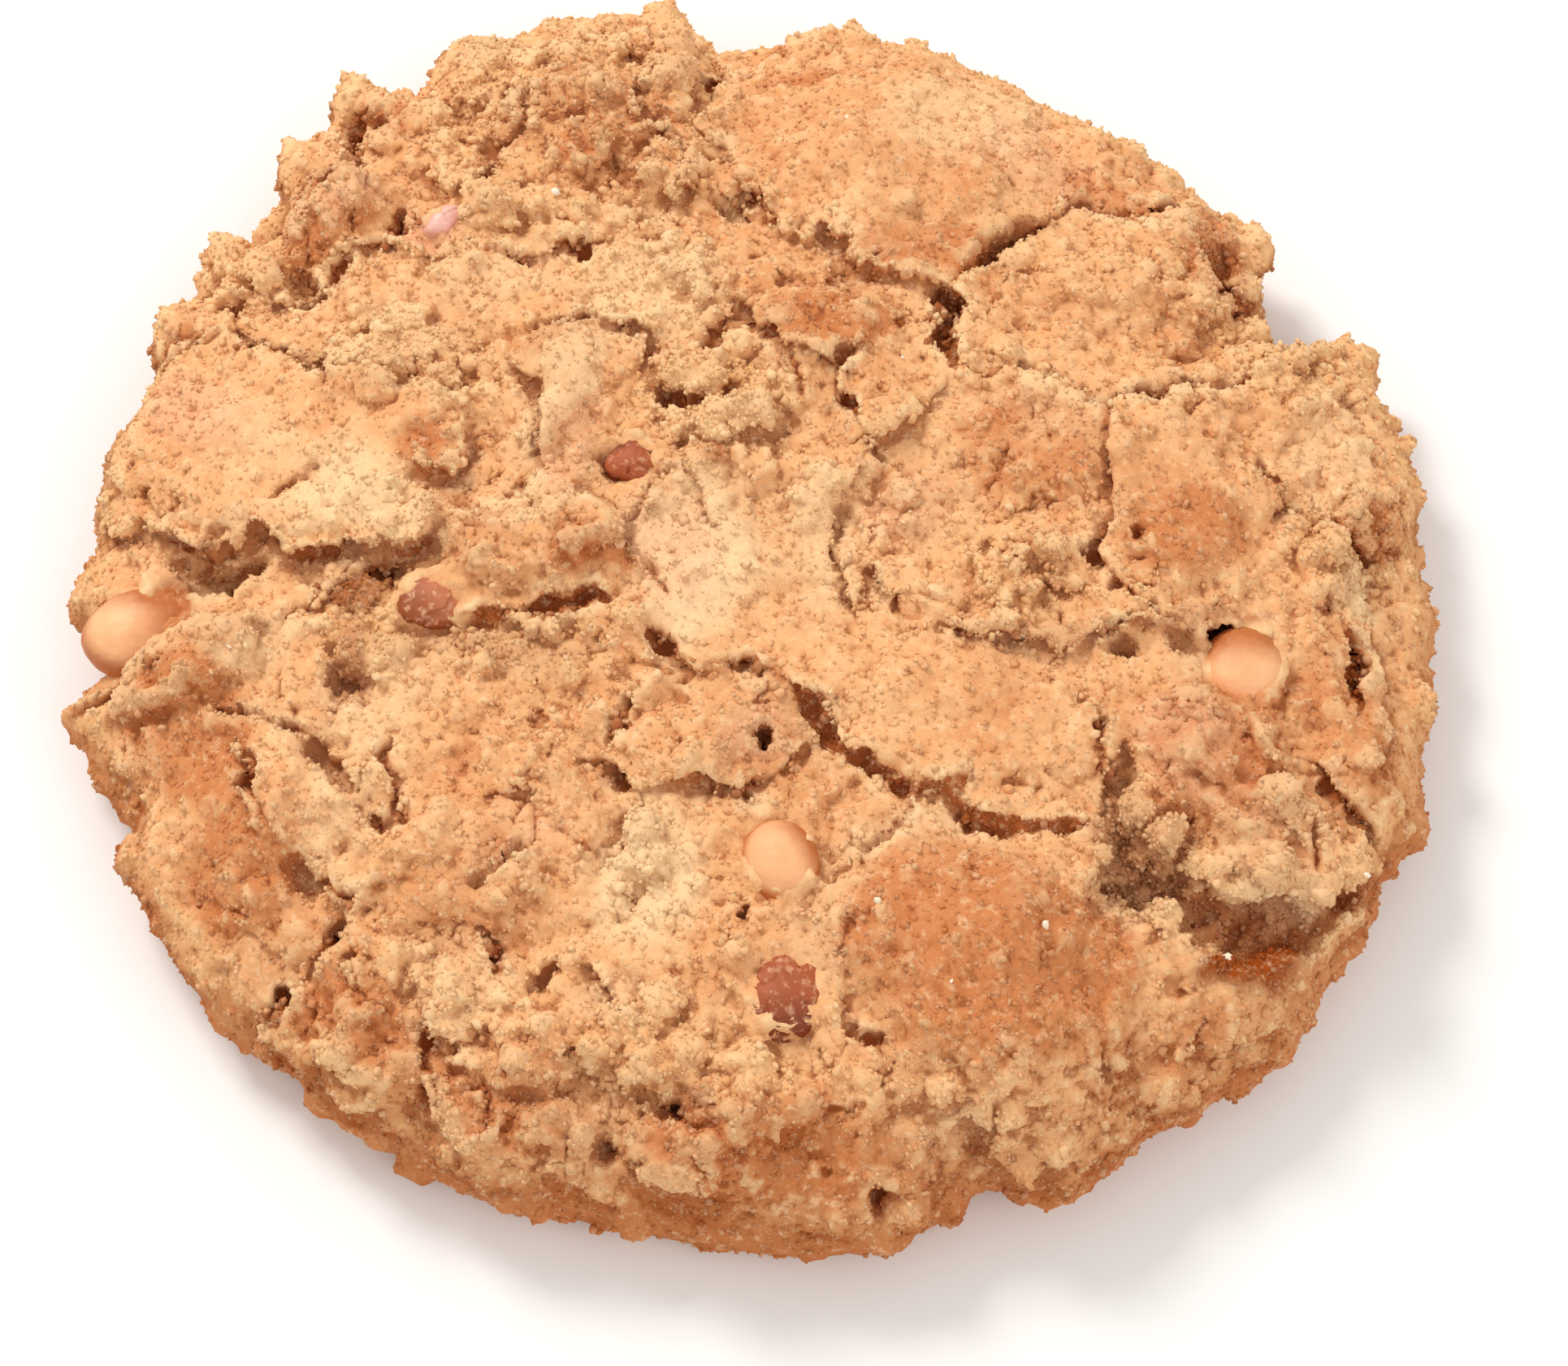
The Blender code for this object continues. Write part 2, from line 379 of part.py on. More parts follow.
def zone_mask(x, y, zones):
    """The strongest of the zones at each place, fading out towards their edges."""
    mask = np.zeros(len(x))
    for zone in zones:
        mask = np.maximum(mask, zone[5] * (1 - smooth(ellipse(x, y, zone), 0.6, 1.15)))
    return mask


def rim_reach(angle):
    """The plan radius of the rim at each angle in radians, with ragged edges."""
    angles = np.array([row[0] for row in RIM], float)
    reach = np.array([row[1] for row in RIM], float)
    degrees = np.degrees(angle) % 360
    reach = np.interp(degrees, np.r_[angles, angles[0] + 360], np.r_[reach, reach[0]], period=360)
    around = np.stack([RADIUS * np.cos(angle), RADIUS * np.sin(angle), 0 * angle], axis=1)
    return reach + 0.25 * at_each(wavy, around, 6.0, 5.3)


def foot_reach(reach):
    """The rim's reach at the foot, where its lobes are rounded off."""
    return np.minimum(reach, reach + FOOT_ROUNDNESS * (RADIUS - reach))


def side_profile():
    """The cookie's section from the middle of the top to the underside: radius share, height, run."""
    turn = np.linspace(0, pi / 2, 240)
    share = np.sin(turn)
    top = WIDEST_AT + (HEIGHT - WIDEST_AT) * np.sqrt(np.clip(1 - share**TOP_ROUNDNESS, 0, 1))
    lower = np.linspace(0, pi / 2, 40)[1:]
    low_share = BASE_SHARE + (1 - BASE_SHARE) * np.cos(lower)
    low = WIDEST_AT - (WIDEST_AT - EDGE_LIFT) * np.sin(lower)
    share, height = np.r_[share, low_share], np.r_[top, low]
    run = np.r_[0, np.cumsum(np.hypot(np.diff(share) * RADIUS, np.diff(height)))]
    return share, height, run / run[-1]


def disc(grid):
    """Square grid places from -1 to 1, pushed out into a disc: radius from 0 to 1, and angle."""
    a, b = grid[:, 0], grid[:, 1]
    wide = np.abs(a) > np.abs(b)
    reach = np.where(wide, a, b)
    safe = np.where(reach == 0, 1, reach)
    turn = np.where(wide, pi / 4 * b / safe, pi / 2 - pi / 4 * a / safe)
    return np.abs(reach), np.where(reach < 0, turn + pi, turn)


def jagged(place):
    """Plan places pushed about, so that nothing drawn in the tables keeps a straight edge."""
    level = place * (1, 1, 0)
    shake = np.stack([at_each(ragged, level, SHAKE_SIZE, shift) for shift in (13.7, 41.3, 77.9)], axis=1)
    return place[:, 0] + SHAKE * shake[:, 0], place[:, 1] + SHAKE * shake[:, 1], shake


def roughness(x, y):
    """How far the crust is broken down to crumb at each place, from 0 to 1."""
    rough = USUAL_ROUGHNESS + zone_mask(x, y, ROUGH_ZONES) - zone_mask(x, y, SMOOTH_ZONES)
    return np.clip(rough, LEAST_ROUGHNESS, 1)


def shared_out(shares, rough):
    """How much of a form the crust gets: its share where it is smooth, and more where it is broken."""
    return shares[0] + shares[1] * rough


def crust_forms(place, x, y, shake, top):
    """The swells, plates, crags, mounds and clods of the crust, and the loose floor of its hollows."""
    sway = np.stack([at_each(wavy, place, SWAY_SIZE, shift) for shift in (3.1, 23.9, 57.7)], axis=1)
    swayed = place + SWAY * sway
    rough = np.where(top > 0.5, roughness(x, y), SIDE_ROUGHNESS)
    rise = sum(height * at_each(swell, place, size, shift) for height, size, shift in SWELLS)
    for plate in PLATES.values():
        rise += plate[5] * (1 - smooth(ellipse(x, y, plate), 0.9 * plate[6], 1.05)) * top
    mound = at_each(billows, swayed, MOUND_SIZE, 5.5)
    crags = CRAG_HEIGHT * at_each(ragged, swayed, CRAG_SIZE, 73.1)
    crags = (1 - TERRACED_SHARE) * crags + TERRACED_SHARE * terraced(crags, TREAD)
    rise += shared_out(CRAGS, rough) * crags * (0.5 + 0.5 * top) + shared_out(MOUNDS, rough) * mound
    own = clods(place + SWAY * shake, CLOD_SIZE, 21.1)[2]
    rise += shared_out(CLODS, rough) * (own - 0.5)
    rise += shared_out(SMALL_MOUNDS, rough) * at_each(billows, swayed, SMALL_MOUND_SIZE, 44.3)
    return rise, mound, FLOOR_MOUNDS * mound + FLOOR_CLODS * (own - 0.5)


def relief(place, top):
    """How far the dough stands out at each place, and how it leans over its hollows."""
    x, y, shake = jagged(place)
    rise, mound, floor = crust_forms(place, x, y, shake, top)
    lean = np.zeros((len(place), 2))
    wander = at_each(swell, place * (1, 1, 0), 3.0, 51.7)
    for width, depth, step, path in CRACKS.values():
        away, side, run, way = beside(x, y, path)
        ends = np.sqrt(np.clip(np.minimum(run, 1 - run) * 6, 0.02, 1))
        curl = np.exp(-(((away - CURL_AT) / CURL_WIDTH) ** 2))
        rise += (CURL * depth * curl + STEP_SHARE * step * ends * side * np.exp(-away / STEP_SPREAD)) * top
        over = np.clip(side * step, 0, 2) * np.exp(-away / OVERHANG_SPREAD) * ends * top
        lean -= OVERHANG * over[:, None] * way
        dug = CRACK_SHARE * depth * ends * np.clip(0.9 + 0.9 * wander, 0.2, None)
        rise -= dug * (1 - smooth(away, CRACK_FLOOR * width, CRACK_SPREAD * width)) * top

    for half, depth, path in RIFTS.values():
        away, side, run, way = beside(x, y, path)
        ends = np.clip(np.minimum(run, 1 - run) * 4, 0.35, 1)
        inside = 1 - smooth(away, RIFT_EDGE[0] * half * ends, RIFT_EDGE[1] * half * ends)
        dish = 1 - RIFT_DISH * np.clip(away / half, 0, 1) ** 2
        rise += inside * top * (floor - RIFT_SHARE * depth * dish * ends - 0.6 * rise)
    rise = seated(place, place + NUDGE * shake, rise, mound)
    for hollow in HOLLOWS.values():
        out = ellipse(x, y, hollow)
        narrow = min(hollow[2], hollow[3])
        inside = 1 - smooth((out - 1) * narrow, *HOLLOW_EDGE)
        dish = 1 - HOLLOW_DISH * np.clip(out * out, 0, 1)
        rise += inside * top * (floor - hollow[5] * dish - 0.5 * rise)
        lip = (1 - inside) * np.exp(-np.clip((out - 1) * narrow, 0, None) / LIP_SPREAD) * hollow[7]
        toward = np.array((cos(radians(hollow[6])), sin(radians(hollow[6]))))
        behind = (hollow[0] - x) * toward[0] + (hollow[1] - y) * toward[1]
        lean += (lip * top * smooth(behind, -1.0, 1.0))[:, None] * toward
    return rise, lean


def seated(place, nudged, rise, mound):
    """The dough meets each chip part way up, climbs over it on one side and keeps clear on the other."""
    for name, (share, side_on, climb, groove) in SEATS.items():
        (centre_x, centre_y, centre_z), half, turn = INCLUSIONS[name][:3]
        out = ellipse(nudged[:, 0], nudged[:, 1], (centre_x, centre_y, half[0], half[1], turn))
        away_x, away_y = place[:, 0] - centre_x, place[:, 1] - centre_y
        facing = (away_x * cos(radians(side_on)) + away_y * sin(radians(side_on))) / half[0]
        level = centre_z + share * half[2] + climb * np.clip(facing, -0.4, 1) - place[:, 2]
        shore = sqrt(1 - share * share)
        seat = 1 - smooth(out, shore, shore + SHORE)
        ring = np.exp(-(((out - shore) * half[0] / GROOVE_WIDTH) ** 2))
        moat = groove * ring * (1 - smooth(facing, -0.6, 0.1))
        rise = rise + seat * (level + 0.5 * mound - rise) - moat
    return rise


def dough_places(grid):
    """The crust over the top and down the side, for grid places from -1 to 1."""
    out, angle = disc(grid)
    share, height, run = side_profile()
    reach = rim_reach(angle)
    base = np.interp(out, run, height)
    low = 1 - smooth(base, EDGE_LIFT, WIDEST_AT)
    radius = np.interp(out, run, share) * (reach + low * (foot_reach(reach) - reach))
    across, up = np.gradient(share) * RADIUS, np.gradient(height)
    length = np.hypot(across, up)
    lean_out = np.interp(out, run, -up / length)
    lean_up = np.interp(out, run, across / length)
    flat = np.stack([np.cos(angle), np.sin(angle)], axis=1)
    place = np.column_stack([flat * radius[:, None], base])
    rise, lean = relief(place, smooth(base, *TOP_FROM))
    rise = rise * smooth(base, EDGE_LIFT, EDGE_LIFT + FOOT_HEIGHT)
    place[:, :2] += flat * (lean_out * rise)[:, None] + lean
    place[:, 2] += lean_up * rise
    place[:, 2] = np.maximum(place[:, 2], EDGE_LIFT)
    return place


def underside_places(grid):
    """The flat underside, drawn in a little from the side."""
    out, angle = disc(grid)
    radius = out * (foot_reach(rim_reach(angle)) * BASE_SHARE - EDGE_LIFT)
    return np.stack([radius * np.cos(angle), radius * np.sin(angle), 0 * radius], axis=1)


def skin_places(name, ball, spread=0.0):
    """The surface of a chip or nut piece for the places on a unit ball, grown by the spread."""
    centre, half, turn, tilt = INCLUSIONS[name][:4]
    uneven = ball + np.array(centre)
    form = 1 + UNEVEN * at_each(swell, uneven, 1.1, 7.1) + FINE_UNEVEN * at_each(ragged, uneven, 0.35, 3.3)
    if name == "chip_small":
        corners = np.cos(3 * np.arctan2(ball[:, 1], ball[:, 0]) + pi / 2)
        form += TRIANGULAR * corners * (1 - ball[:, 2] ** 2)
    if name in CHIPPED:
        near, gap, own = clods(uneven, FACET_SIZE, 5.7)
        form = form * (1 + FACET_STEP * (own - 0.5) - FACET_DISH * near)
    turned = Matrix.Rotation(radians(turn), 3, "Z") @ Matrix.Rotation(radians(tilt), 3, "Y")
    return ball * (np.array(half) + spread) * form[:, None] @ np.array(turned).T + np.array(centre)


def coloured(thing, colour, roughness_value):
    material = bpy.data.materials.new(thing.name)
    material.use_nodes = True
    shader = material.node_tree.nodes["Principled BSDF"]
    shader.inputs["Base Color"].default_value = (*colour, 1)
    shader.inputs["Roughness"].default_value = roughness_value
    shader.inputs["Metallic"].default_value = 0
    material.diffuse_color = (*colour, 1)
    thing.data.materials.append(material)


def new_object(name, shape):
    mesh = bpy.data.meshes.new(name)
    shape.to_mesh(mesh)
    shape.free()
    mesh.shade_smooth()
    thing = bpy.data.objects.new(name, mesh)
    bpy.context.scene.collection.objects.link(thing)
    return thing


def applied(thing, kind, **settings):
    """Adds a modifier with these settings and applies it."""
    modifier = thing.modifiers.new(kind, kind)
    for setting, value in settings.items():
        setattr(modifier, setting, value)
    bpy.context.view_layer.objects.active = thing
    bpy.ops.object.modifier_apply(modifier=modifier.name)


def inclusion(name, spread=0.0):
    """A chip or nut piece, or with a spread the room that it takes in the dough."""
    shape = bmesh.new()
    bmesh.ops.create_icosphere(shape, subdivisions=INCLUSIONS[name][4], radius=1)
    ball = np.array([v.co for v in shape.verts])
    for vert, place in zip(shape.verts, skin_places(name, ball, spread) * MM):
        vert.co = place
    return new_object(name, shape)


def biggest_body(thing):
    """Drops the loose scraps that cutting the pockets leaves."""
    shape = bmesh.new()
    shape.from_mesh(thing.data)
    left = set(shape.verts)
    bodies = []
    while left:
        body, edge = set(), [next(iter(left))]
        while edge:
            vert = edge.pop()
            if vert in body:
                continue
            body.add(vert)
            edge += [link.other_vert(vert) for link in vert.link_edges]
        bodies.append(body)
        left -= body
    keep = max(bodies, key=len)
    bmesh.ops.delete(shape, geom=[v for v in shape.verts if v not in keep], context="VERTS")
    shape.to_mesh(thing.data)
    shape.free()


def dough():
    """The whole cookie but for its chips and nut pieces, as one solid with a pocket for each of them."""
    shape = bmesh.new()
    bmesh.ops.create_grid(shape, x_segments=GRID, y_segments=GRID, size=1)
    made = bmesh.ops.extrude_face_region(shape, geom=shape.faces[:])
    lower = {v for v in made["geom"] if isinstance(v, bmesh.types.BMVert)}
    bottom, top = list(lower), [v for v in shape.verts if v not in lower]
    for verts, places in ((top, dough_places), (bottom, underside_places)):
        grid = np.array([v.co[:2] for v in verts])
        for vert, place in zip(verts, places(grid)):
            vert.co = place * MM
    bmesh.ops.recalc_face_normals(shape, faces=shape.faces[:])
    thing = new_object("cookie", shape)
    applied(thing, "SMOOTH", factor=SMOOTHING, iterations=SMOOTHINGS)
    triangles = sum(len(face.vertices) - 2 for face in thing.data.polygons)
    applied(thing, "DECIMATE", ratio=COOKIE_TRIANGLES / triangles, use_collapse_triangulate=True)
    for name in INCLUSIONS:
        cutter = inclusion(name, GAP)
        applied(thing, "BOOLEAN", operation="DIFFERENCE", object=cutter, solver="EXACT")
        bpy.data.objects.remove(cutter)
    biggest_body(thing)
    thing.data.shade_smooth()
    return thing


def main():
    for thing in list(bpy.data.objects):
        bpy.data.objects.remove(thing)
    coloured(dough(), DOUGH_COLOUR, DOUGH_ROUGHNESS)
    for name, row in INCLUSIONS.items():
        coloured(inclusion(name), row[5], row[6])


main()
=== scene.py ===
"""The looks of a thick, craggy peanut butter cookie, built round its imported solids.

The tables are in millimetres and degrees, measured in plan from the middle of the cookie, and MM turns
them into metres. +X is right, +Y is back and +Z is up.
"""

from math import cos, pi, radians, sin, sqrt

import bpy
import numpy as np
from mathutils import Matrix, Vector, noise


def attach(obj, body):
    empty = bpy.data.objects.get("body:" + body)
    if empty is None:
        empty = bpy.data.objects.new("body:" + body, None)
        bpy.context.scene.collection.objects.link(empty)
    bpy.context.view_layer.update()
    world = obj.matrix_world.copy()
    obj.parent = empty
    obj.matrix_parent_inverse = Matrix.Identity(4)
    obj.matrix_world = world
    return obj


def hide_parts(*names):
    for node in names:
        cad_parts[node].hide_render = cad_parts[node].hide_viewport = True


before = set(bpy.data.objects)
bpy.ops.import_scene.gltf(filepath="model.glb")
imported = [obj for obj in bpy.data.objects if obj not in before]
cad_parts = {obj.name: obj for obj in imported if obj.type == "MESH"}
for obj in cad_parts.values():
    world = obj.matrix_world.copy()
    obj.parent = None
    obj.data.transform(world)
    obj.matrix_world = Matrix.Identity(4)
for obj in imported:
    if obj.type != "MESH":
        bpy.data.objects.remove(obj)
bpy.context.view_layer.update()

MM = 0.001
rng = np.random.default_rng(20)

# The form, in millimetres, as in the solids.
RADIUS = 60.0
HEIGHT = 19.0
WIDEST_AT = 5.6
EDGE_LIFT = 0.6
BASE_SHARE = 0.955
TOP_ROUNDNESS = 3.3
FOOT_ROUNDNESS = 0.6
TOP_FROM = (5.0, 10.5)
FOOT_HEIGHT = 2.5
RIM_RAGGED, RIM_RAGGED_SIZE = 0.25, 6.0
TOP_STEPS, LOW_STEPS = 240, 40

# How fine the crust is modelled: squares along a side, the rings of its skirt, the cell it is remade
# with, then triangles once it is thinned out.
GRID = 430
UNDER_RINGS = 18
VOXEL = 0.27
CRUST_TRIANGLES = 196_000

# How far drawn edges are pushed about, then the height, size and shift of the dough's two swells.
SHAKE, SHAKE_SIZE = 1.6, 8.0
SWAY, SWAY_SIZE = 1.3, 5.0
NUDGE = 0.8
SWELLS = ((1.1, 17.0, 3.3), (0.8, 7.5, 9.1))

# The crags, how much of them lies in treads and how high a tread is, then the mounds and the clods.
CRAG_HEIGHT, CRAG_SIZE = 1.7, 8.5
TERRACED_SHARE, TREAD, RISER = 0.65, 0.85, (0.36, 0.64)
MOUND_SIZE, CLOD_SIZE = 6.5, 6.3
FLOOR_MOUNDS, FLOOR_CLODS = 1.6, 0.8

# How broken the crust is, from 0 to 1: usually, at least, and down the side. Then how much of each form
# a smooth crust has, and how much more a wholly broken one.
USUAL_ROUGHNESS, LEAST_ROUGHNESS, SIDE_ROUGHNESS = 0.22, 0.02, 0.3
CRAGS = (0.35, 0.9)
MOUNDS = (0.4, 0.9)
CLODS = (0.10, 1.0)
UP_THE_SIDE = (0.5, 0.5)
PLATE_EDGE, ZONE_EDGE = (0.9, 1.05), (0.6, 1.15)

# The crust beside a crack: the curl of its lip, the spread of its step, and how far that leans over.
CURL, CURL_AT, CURL_WIDTH = 0.08, 1.7, 0.9
STEP_SHARE, STEP_SPREAD = 1.3, 4.0
OVERHANG, OVERHANG_SPREAD = 0.8, 1.3

# A crack at least this wide is already opened in the moulded dough: the share of its depth that is dug,
# then its floor and its mouth in shares of its width. One with so high a step is opened by that step.
WIDE_CRACK = 0.7
CRACK_SHARE, CRACK_FLOOR, CRACK_SPREAD, LEAST_DUG = 0.7, 0.3, 1.1, 0.2
LIFTED = 0.9

# How quickly a crack and a rift open from their ends, how open each end is, and how they wander.
CRACK_ENDS = (6, 0.02)
RIFT_ENDS = (4, 0.35)
WANDER, WANDER_SIZE = (0.9, 0.9), 3.0

# How much of a rift's depth is dug, and how much its floor and a hollow's dish. Then how far a lip
# reaches, and between where their walls run: in shares of a rift's half width, and in millimetres.
RIFT_SHARE, RIFT_DISH = 0.85, 0.3
HOLLOW_DISH, LIP_SPREAD = 0.35, 1.6
RIFT_EDGE = (0.72, 1.08)
HOLLOW_EDGE = (-0.45, 0.3)
# How far either levels the crust's own rise, and where behind a hollow its lip grows.
RIFT_LEVELLED, HOLLOW_LEVELLED, LIP_BEHIND = 0.6, 0.5, (-1.0, 1.0)

# How wide the dough's shore round a chip is, as a share of the chip, and its groove in millimetres.
# Then where the climb and the groove end, in shares of the chip towards the climbing side.
SHORE, GROOVE_WIDTH, SEAT_MOUNDS = 0.28, 0.4, 0.5
CLIMB_FROM, GROOVE_FADE = -0.4, (-0.6, 0.1)

# The underside: the sizes of its dents and pits, how deep they are, and where they set in.
DENT_SIZE, PIT_MARK_SIZE, PIT_MARKS = 5.0, 2.0, (0.35, 0.6)
UNDER_DEPTH, UNDER_FROM = 0.6, (0.05, 0.12)

# The finer relief. Where the crust gives way to the side, in shares of the reach and in height, how far
# below the side's own line a place lies that is sunk, and how broken the side is.
RIM_FADE, SIDE_FADE = (0.93, 0.99), (6.0, 9.0)
SUNK = (0.2, 1.4)
FINE_SIDE_ROUGHNESS = 0.85
FINE_SWAY, FINE_SWAY_SIZE = 0.7, 2.6

# Its clods: size, shift, shares, and which of them stand out and how wide. Then its crags and mounds,
# as size and shares or height, and what is left of them down the side.
FINE_CLODS = ((2.1, 61.9, (0.25, 0.9), 0.45, 0.75), (1.0, 81.3, (0.35, 0.25), 0.3, 0.8))
FINE_CRAG_SIZE, FINE_CRAGS = 4.2, (0.30, 0.25)
FINE_MOUND_SIZE, FINE_MOUNDS = 2.8, (0.30, 0.30)
TINY_MOUND_SIZE, TINY_MOUNDS = 1.1, 0.24
TINY_CRAG_SIZE, TINY_CRAGS = 1.4, 0.20
DOWN_THE_SIDE = (0.25, 0.75)
SETTLED = (0.75, 0.25)

# Its cracks: how their width wanders and the least of it, the share of the depth and the least of that,
# their floor and mouth in shares of the width, the pale fringe beside them, and what is left to dig.
FINE_WANDER, LEAST_WIDTH = (1.05, 1.4), 0.26
FINE_SHARE, LEAST_DEPTH = 0.85, 0.45
FINE_FLOOR, FINE_MOUTH = 0.25, 1.35
FRINGE_WIDTH, FRINGE_PALE, FRINGE_FROM = 0.6, 0.7, (-0.3, 0.3)
LEFT_TO_DIG = 0.2
# How much of a rift's and a hollow's depth counts as cut, which the crust's colour turns into painted shade.
RIFT_CUT, HOLLOW_CUT = 0.14, 0.3

# Its hairlines, and where they show: in patches, in stretches and where the crust is broken. Its pits.
# The cut of each is how much painted shade it gets in the crust's colour.
HAIR_SIZE, HAIR_WIDTH, HAIR_DEPTH, HAIR_CUT = 4.3, 0.035, 0.6, 1.1
HAIR_PATCHES, HAIR_STRETCHES = (7.0, -0.15, 0.2), (2.2, -0.1, 0.2)
HAIR_BROKEN, HAIR_SHARE = (0.02, 0.2), (0.4, 0.6)
PIT_SIZE, PIT_FROM, PIT_DEPTH, PIT_CUT = 1.3, (0.52, 0.66), 0.4, 0.6
PIT_PATCHES = (6.0, -0.2, 0.3)

# The side is darkened from this height up to that in front, less by the last towards the back: browned at
# the foot, with painted shade reaching higher up the front, which is turned from the window lamp.
BAKED_FROM, BROWNED_AND_SHADED_TO, LESS_SHADE_AT_BACK = 3.0, 11.0, 6.0

# How far a place stands out: the square span and the cell over which the crust's height is read, the
# reach of each reading, and from which height up it counts.
SPAN = 140.0
CELL = 0.25
# The crust's colour paints highlight where a place stands out and shade where it sinks below.
CRESTS = {"fine_crest": 0.5, "crest": 1.2, "broad_crest": 4.0}
CREST_FROM, CREST_LEAST = (6.0, 10.0), 0.2

# How uneven the chips are, how far the small chip is drawn into a triangle, and how chipped some are.
UNEVEN, UNEVEN_SIZE = 0.07, 1.1
FINE_UNEVEN, FINE_UNEVEN_SIZE = 0.012, 0.35
TRIANGULAR = 0.2
FACET_STEP, FACET_DISH, FACET_SIZE = 0.10, 0.05, 0.8
CHIPPED = ("chip_small", "chip_melted", "nut_piece", "nut_bit_back")
SKIN_ROUNDS = 6

# Lumps of crumb heaped on the dough: how many, how large, how far sunk and dented. Then where they lie:
# how broken the crust is there, from which height up, and how many lie low down.
LUMPS, LUMP_SIZE, LUMP_SINK, LUMP_DENTS = 2200, (0.5, 2.6), -0.6, 0.16
LUMP_ROUGHNESS, LUMP_LEAST, LUMP_POWER = 0.15, 0.02, 1.5
LUMPS_ABOVE, LUMPS_LOW_DOWN, LOW_DOWN = 3.0, 0.25, 8

# How far a loose piece is stretched and dented, how many are small, and the cube a small one starts as.
STRETCH, DENTS = (0.55, 1.3), 0.3
SMALL_ONES = 3
CUBE = 1.2

# Loose crumbs: how many more lie in cracks, how few low down, from which height up, and how far sunk.
CRUMBS_IN_CRACKS, CRACK_FROM = 0.6, (0.2, 1.0)
CRUMBS_UP, CRUMBS_UP_FROM, CRUMBS_ABOVE = (0.15, 0.85), (4.0, 12.0), 1.0
CRUMB_SINK, SUGAR_SINK = -0.15, 0.1

# How far round a chip nothing lies loose, in shares of the chip, and what may lie there all the same.
CHIP_CLEAR, CHIP_STRAY = (0.9, 1.3), 0.002

# The rim in plan: angle from +X, and how far it reaches. The two deep notches are at 27 and 122.
RIM = (
    (2, 60.2), (16, 60.8), (23.5, 60.6), (26.6, 53.2), (31, 55.2), (38, 58.4), (47, 58.0),
    (55, 56.4), (72, 58.3), (83, 58.4), (89, 57.2), (93.8, 56.4), (97.3, 60.8), (103, 61.4),
    (108, 63.2), (112, 62.0), (116, 64.2), (121.8, 59.6), (126, 65.0), (130, 62.4), (134, 63.6),
    (139, 59.4), (142, 57.8), (146, 60.7), (150, 59.4), (154, 61.2), (161, 58.4), (167, 60.4),
    (171, 60.2), (177, 58.9), (182, 60.6), (185, 58.9), (188, 57.4), (191.5, 61.2), (203, 58.6),
    (206, 61.2), (210, 60.3), (222, 60.3), (236, 59.5), (250, 60.2), (262, 59.4), (280.7, 61.6),
    (289.5, 58.2), (296, 61.8), (306, 61.0), (313, 61.8), (326, 61.4), (331, 62.2), (334.1, 59.9),
    (337.5, 62.0), (345, 60.8), (349, 61.4), (355, 60.2),
)

